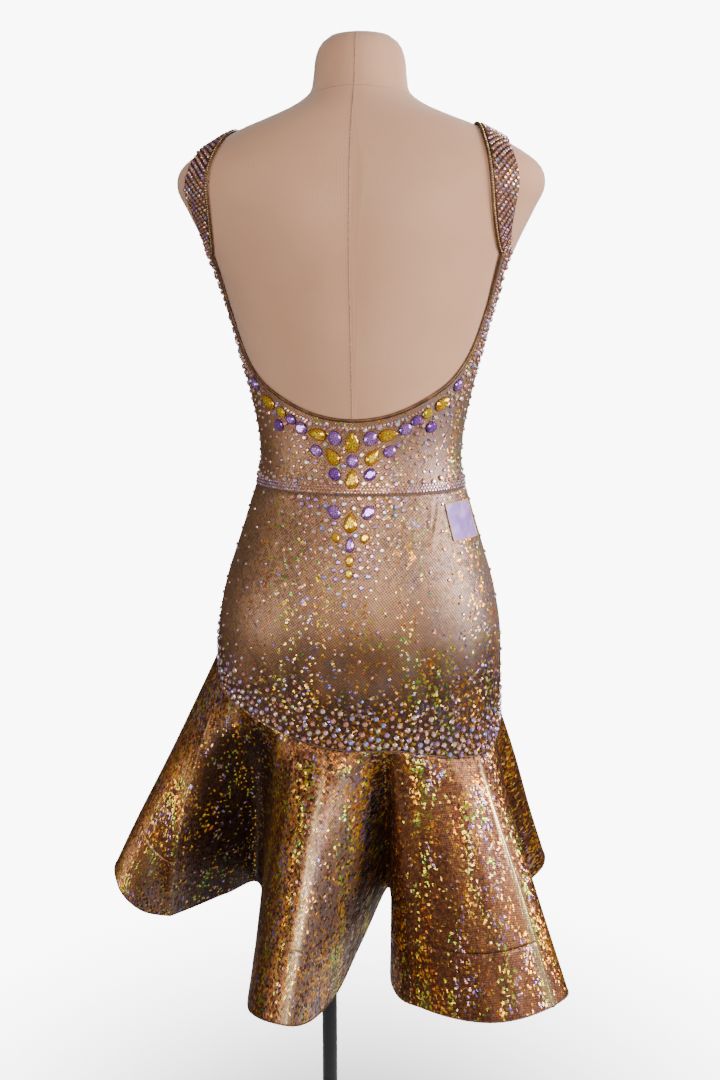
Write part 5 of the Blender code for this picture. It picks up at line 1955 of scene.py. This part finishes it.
# %% Scattering
def on_cloth(name, angle, z, spacing_of, medium, weights, seed):
    """Scatter stones over places of the cloth; medium ones lie where they crowd."""
    rng = np.random.default_rng(seed)
    points = worn_cloth_at(angle, z)
    outs = cloth_direction(angle, z)
    spacing = spacing_of(angle, z, points) / 1000
    fits = np.isfinite(spacing) & clear_of_large(points, SMALL + 0.0004)
    points, outs, spacing = points[fits], outs[fits], spacing[fits]
    big = clear_of_large(points, MEDIUM + 0.0004) & (rng.random(len(points)) < 0.5)
    crowding, times_spacing, medium_weights = medium
    first = np.flatnonzero(big & (spacing < crowding))
    first = first[scattered(points[first], spacing[first] * times_spacing)]
    second = scattered(points, spacing, points[first])
    radii = np.concatenate([np.full(len(first), MEDIUM), np.full(len(second), SMALL)])
    order = np.concatenate([first, second])
    tints = tints_for(rng, len(order), weights)
    tints[:len(first)] = tints_for(rng, len(first), medium_weights)
    return set_small(name, points[order], outs[order], radii, tints, seed)


neck_tree = tree_of(edge_points)

# %% Spacing on the bodice and the skirt
def bodice_spacing(angle, z, points):
    away = np.abs(signed(angle))
    behind = away < 90
    low = np.where(behind, neck_angle(BACK_NECK, z, 0.0), 0.0)
    high = np.where(behind, armhole_angle(z, BACK_STRAP_OUTER), neck_angle(FRONT_NECK, z, 180.0))
    low = np.where(behind, low, armhole_angle(z, FRONT_STRAP_OUTER))
    inside = (away > low + 1.2 * (low > 0)) & (away < high - 1.2 * (high < 180))
    inside &= (z > WAIST_SEAM + 0.0115) & (z < STRAP_JOIN - 0.001)
    edge = distance_to(points, neck_tree)
    inside &= edge > np.where(behind, 0.0086, 0.0046)
    by_edge = gap_at(edge, GAP_BY_EDGE)
    by_waist = gap_at(z - WAIST_SEAM, GAP_BY_WAIST)
    by_centre = gap_at(np.abs(points[:, 0]), GAP_BY_CENTRE)
    spacing = np.where(behind, np.minimum(np.minimum(by_edge, by_waist), by_centre),
                       np.minimum(by_edge * 1.25, 15.0))
    return np.where(inside, spacing, np.nan)


def skirt_spacing(angle, z, points):
    over_seam = z - flounce_seam(angle)
    inside = (over_seam > 0.0030) & (z < WAIST_SEAM - 0.0035)
    label_away = points - beside(LABEL_ANGLE, LABEL_MIDDLE, 0.0, 0.0)
    inside &= np.linalg.norm(label_away, axis=1) > 0.034
    drop = WAIST_SEAM - z
    past_point = np.abs(points[:, 0]) - np.interp(drop, POINT_DROPS, POINT_WIDTHS)
    by_point = gap_at(past_point, GAP_BY_POINT) + gap_at(drop, GAP_MORE_BY_DROP)
    by_seam = gap_at(over_seam, GAP_BY_FLOUNCE)
    spacing = np.where(np.cos(np.radians(angle)) > 0, np.minimum(by_point, by_seam),
                       np.minimum(WIDEST_GAP, by_seam * 1.2))
    return np.where(inside, np.minimum(spacing, WIDEST_GAP), np.nan)


tries = np.random.default_rng(11)
bodice_tries = tries.uniform((-180, WAIST_SEAM), (180, STRAP_JOIN), (42000, 2))
stones_on_bodice = on_cloth("small_stones_on_bodice", bodice_tries[:, 0], bodice_tries[:, 1],
                            bodice_spacing, (0.0062, 1.9, (5, 7, 1, 2, 0)),
                            (9, 6, 0.4, 2, 2), seed=21)
skirt_tries = tries.uniform((-180, 0.68), (180, WAIST_SEAM), (60000, 2))
stones_on_skirt = on_cloth("small_stones_on_skirt", skirt_tries[:, 0], skirt_tries[:, 1],
                           skirt_spacing, (0.0080, 1.6, (3, 6, 2, 4, 0)),
                           (5, 9, 0.8, 2, 1), seed=22)

# %% [markdown]
# Tight staggered rows edge the waist seam and cover both straps, and single rows follow the
# neckline and its binding. They are set at even steps, as a careful hand would do it.

# %% Rows at the waist
WAIST_ROWS = (1.0030, 1.0064, 1.0098)
WAIST_PITCH = 0.0040
WAIST_STONE = 0.00138   # radius


def waist_rows():
    fine = np.linspace(0, 360, 1441)
    centres, outs = [], []
    for k, z in enumerate(WAIST_ROWS):
        run = run_along(worn_cloth_at(fine, z))
        count = int(run[-1] / WAIST_PITCH)
        angle = np.interp((np.arange(count) + 0.5 * (k % 2)) * run[-1] / count, run, fine)
        centres.append(worn_cloth_at(angle, z))
        outs.append(cloth_direction(angle, z))
    return np.concatenate(centres), np.concatenate(outs)


# The dark cord in the waist seam's groove is painted shadow.
waist_shadow_cord = groove_shadow_cord("waist_seam_thread", np.arange(360) * 1.0, WAIST_SEAM, 0.0013)

# %% Row at the neckline
NECK_ROW, NECK_PITCH = 0.0064, 0.0044     # in from the edge, and from stone to stone


def neck_row():
    """One row along the back's neckline, on both sides of the centre."""
    angle, z = neckline(BACK_NECK, 0.0, 160)
    edge = np.column_stack([angle * BODICE_DEGREE, z])
    way = unit(np.gradient(edge, axis=0))
    row = edge + way[:, ::-1] * (1, -1) * NECK_ROW
    run = run_along(row)
    across, z = along_path(np.arange(NECK_PITCH / 2, run[-1], NECK_PITCH), run, row).T
    angle, z = np.concatenate([across, -across]) / BODICE_DEGREE, np.tile(z, 2)
    centres, outs = worn_cloth_at(angle, z), cloth_direction(angle, z)
    clear = clear_of_large(centres, SMALL) & (distance_to(centres, neck_tree) > 0.0045)
    return centres[clear], outs[clear]


neck_centres, neck_outs = neck_row()
neck_rng = np.random.default_rng(51)
stones_at_neck = set_small("neckline_row_of_stones", neck_centres, neck_outs,
                           np.full(len(neck_centres), SMALL),
                           tints_for(neck_rng, len(neck_centres), (5, 5, 1, 3, 3)), seed=51)

# %% Beads on the binding
BEAD, BEAD_PITCH = 0.0010, 0.0027       # radius, and from bead to bead


def strap_beads():
    """Small gold beads along the binding of both straps."""
    places, outs, _ = even_path(tape_path + edge_out * BINDING_HEIGHT / 2, edge_out, BEAD_PITCH)
    high = places[:, 2] > STRAP_JOIN
    count = int(high.sum())
    return set_small("strap_edge_beads", places[high], outs[high], np.full(count, BEAD),
                     np.tile((0.90, 0.50, 0.14), (count, 1)), seed=61)


strap_beads()
waist_centres, waist_outs = waist_rows()
waist_rng = np.random.default_rng(31)
waist_tints = np.where(
    (np.abs(waist_centres[:, 0]) < 0.062)[:, None],
    tints_for(waist_rng, len(waist_centres), (8, 1, 0, 1, 2)),
    tints_for(waist_rng, len(waist_centres), (1, 3, 2, 5, 0)),
)
stones_at_waist = set_small("waist_rows_of_stones", waist_centres, waist_outs,
                            np.full(len(waist_centres), WAIST_STONE), waist_tints, seed=31)

# %% Rows on the straps
STRAP_PITCH_ALONG, STRAP_PITCH_ACROSS = 0.0042, 0.0066
STRAP_STONE = 0.0023    # radius


def strap_stones(side, side_name):
    """Staggered rows over a whole strap."""
    grid, direction = strap_grid(side)
    run = run_along(grid[:, STRAP_COLUMNS // 2])
    centres, outs = [], []
    for k, at in enumerate(np.arange(0.002, run[-1] - 0.002, STRAP_PITCH_ALONG)):
        row, row_out = (np.concatenate([along_path(at, run, values[:, c])
                                        for c in range(STRAP_COLUMNS + 1)])
                        for values in (grid, direction))
        across = run_along(row)
        first = 0.0030 + STRAP_PITCH_ACROSS / 2 * (k % 2)
        places = np.arange(first, across[-1] - 0.0014, STRAP_PITCH_ACROSS)
        centres.append(along_path(places, across, row))
        outs.append(along_path(places, across, row_out))
    centres, outs = np.concatenate(centres), unit(np.concatenate(outs))
    rng = np.random.default_rng(40 + side)
    tints = tints_for(rng, len(centres), (10, 2, 0.5, 2, 3)) * 0.70
    return set_small(f"strap_stones_{side_name}", centres, outs,
                     np.full(len(centres), STRAP_STONE), tints, seed=41 + side)


strap_stones_left = strap_stones(1, "left")
strap_stones_right = strap_stones(-1, "right")

# %% [markdown]
# ## Which pieces are cloth
#
# Every sheet of cloth says what it was cut to while flat, how it is held and what it rests on.
# The fitted panels are stretched over the form and the flounce hangs from its seam. Its halves
# are parts of a ring, so their area is given beside the rectangle that holds the cut.

ring_outer = INNER_RADIUS + FLOUNCE_DEPTH
ring_area = (SEAM_LENGTH + HEM_LENGTH) / 2 * FLOUNCE_DEPTH
STRAP_CUT_WIDTH = 0.034
FITTED = (
    # piece, flat cut, pieces on it
    (skirt_back, (0.43, 0.315), [stones_on_skirt, waist_shadow_cord]),
    (skirt_front, (0.43, 0.290), []),
    (bodice_back, (0.40, 0.270), [stones_on_bodice, stones_at_waist, stones_at_neck]),
    (bodice_front, (0.43, 0.270), []),
    (strap_left, (STRAP_CUT_WIDTH, STRAP_LENGTHS["left"]), [strap_stones_left]),
    (strap_right, (STRAP_CUT_WIDTH, STRAP_LENGTHS["right"]), [strap_stones_right]),
)
for piece, flat, on_it in FITTED:
    cut = area_of(piece)
    area = cut if cut < flat[0] * flat[1] else None
    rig.sheet(piece, flat=flat, held="stretched", rests_on=["form_torso"], area=area,
             with_pieces=on_it)
    print(f"{piece.name}: {cut:.4f} m2 of a cut {flat[0]:.3f} x {flat[1]:.3f} m")
for piece, half_name in ((flounce_back, "back"), (flounce_front, "front")):
    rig.sheet(piece, flat=(2 * ring_outer, ring_outer), held="hung",
             rests_on=[f"skirt_{half_name}"], area=ring_area / 2,
             with_pieces=hem_pieces[half_name])
    print(f"{piece.name}: {area_of(piece):.4f} m2 of {ring_area / 2:.4f} m2")
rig.sheet(label, flat=(LABEL_WIDTH, LABEL_HEIGHT), held="laid", rests_on=["skirt_back"],
         with_pieces=[label_edge])

# %% [markdown]
# ## Size, and the end
#
# The visual model has to stay within the size of the solids. Both boxes, of the solids
# and of the visual model, are written down.

# %% Finish
with open("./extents.json", "w") as file:
    json.dump([[list(corner) for corner in box] for box in (cad_box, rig.bounds())], file)
print("sizes:", [[round(v, 4) for v in corner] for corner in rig.bounds()])
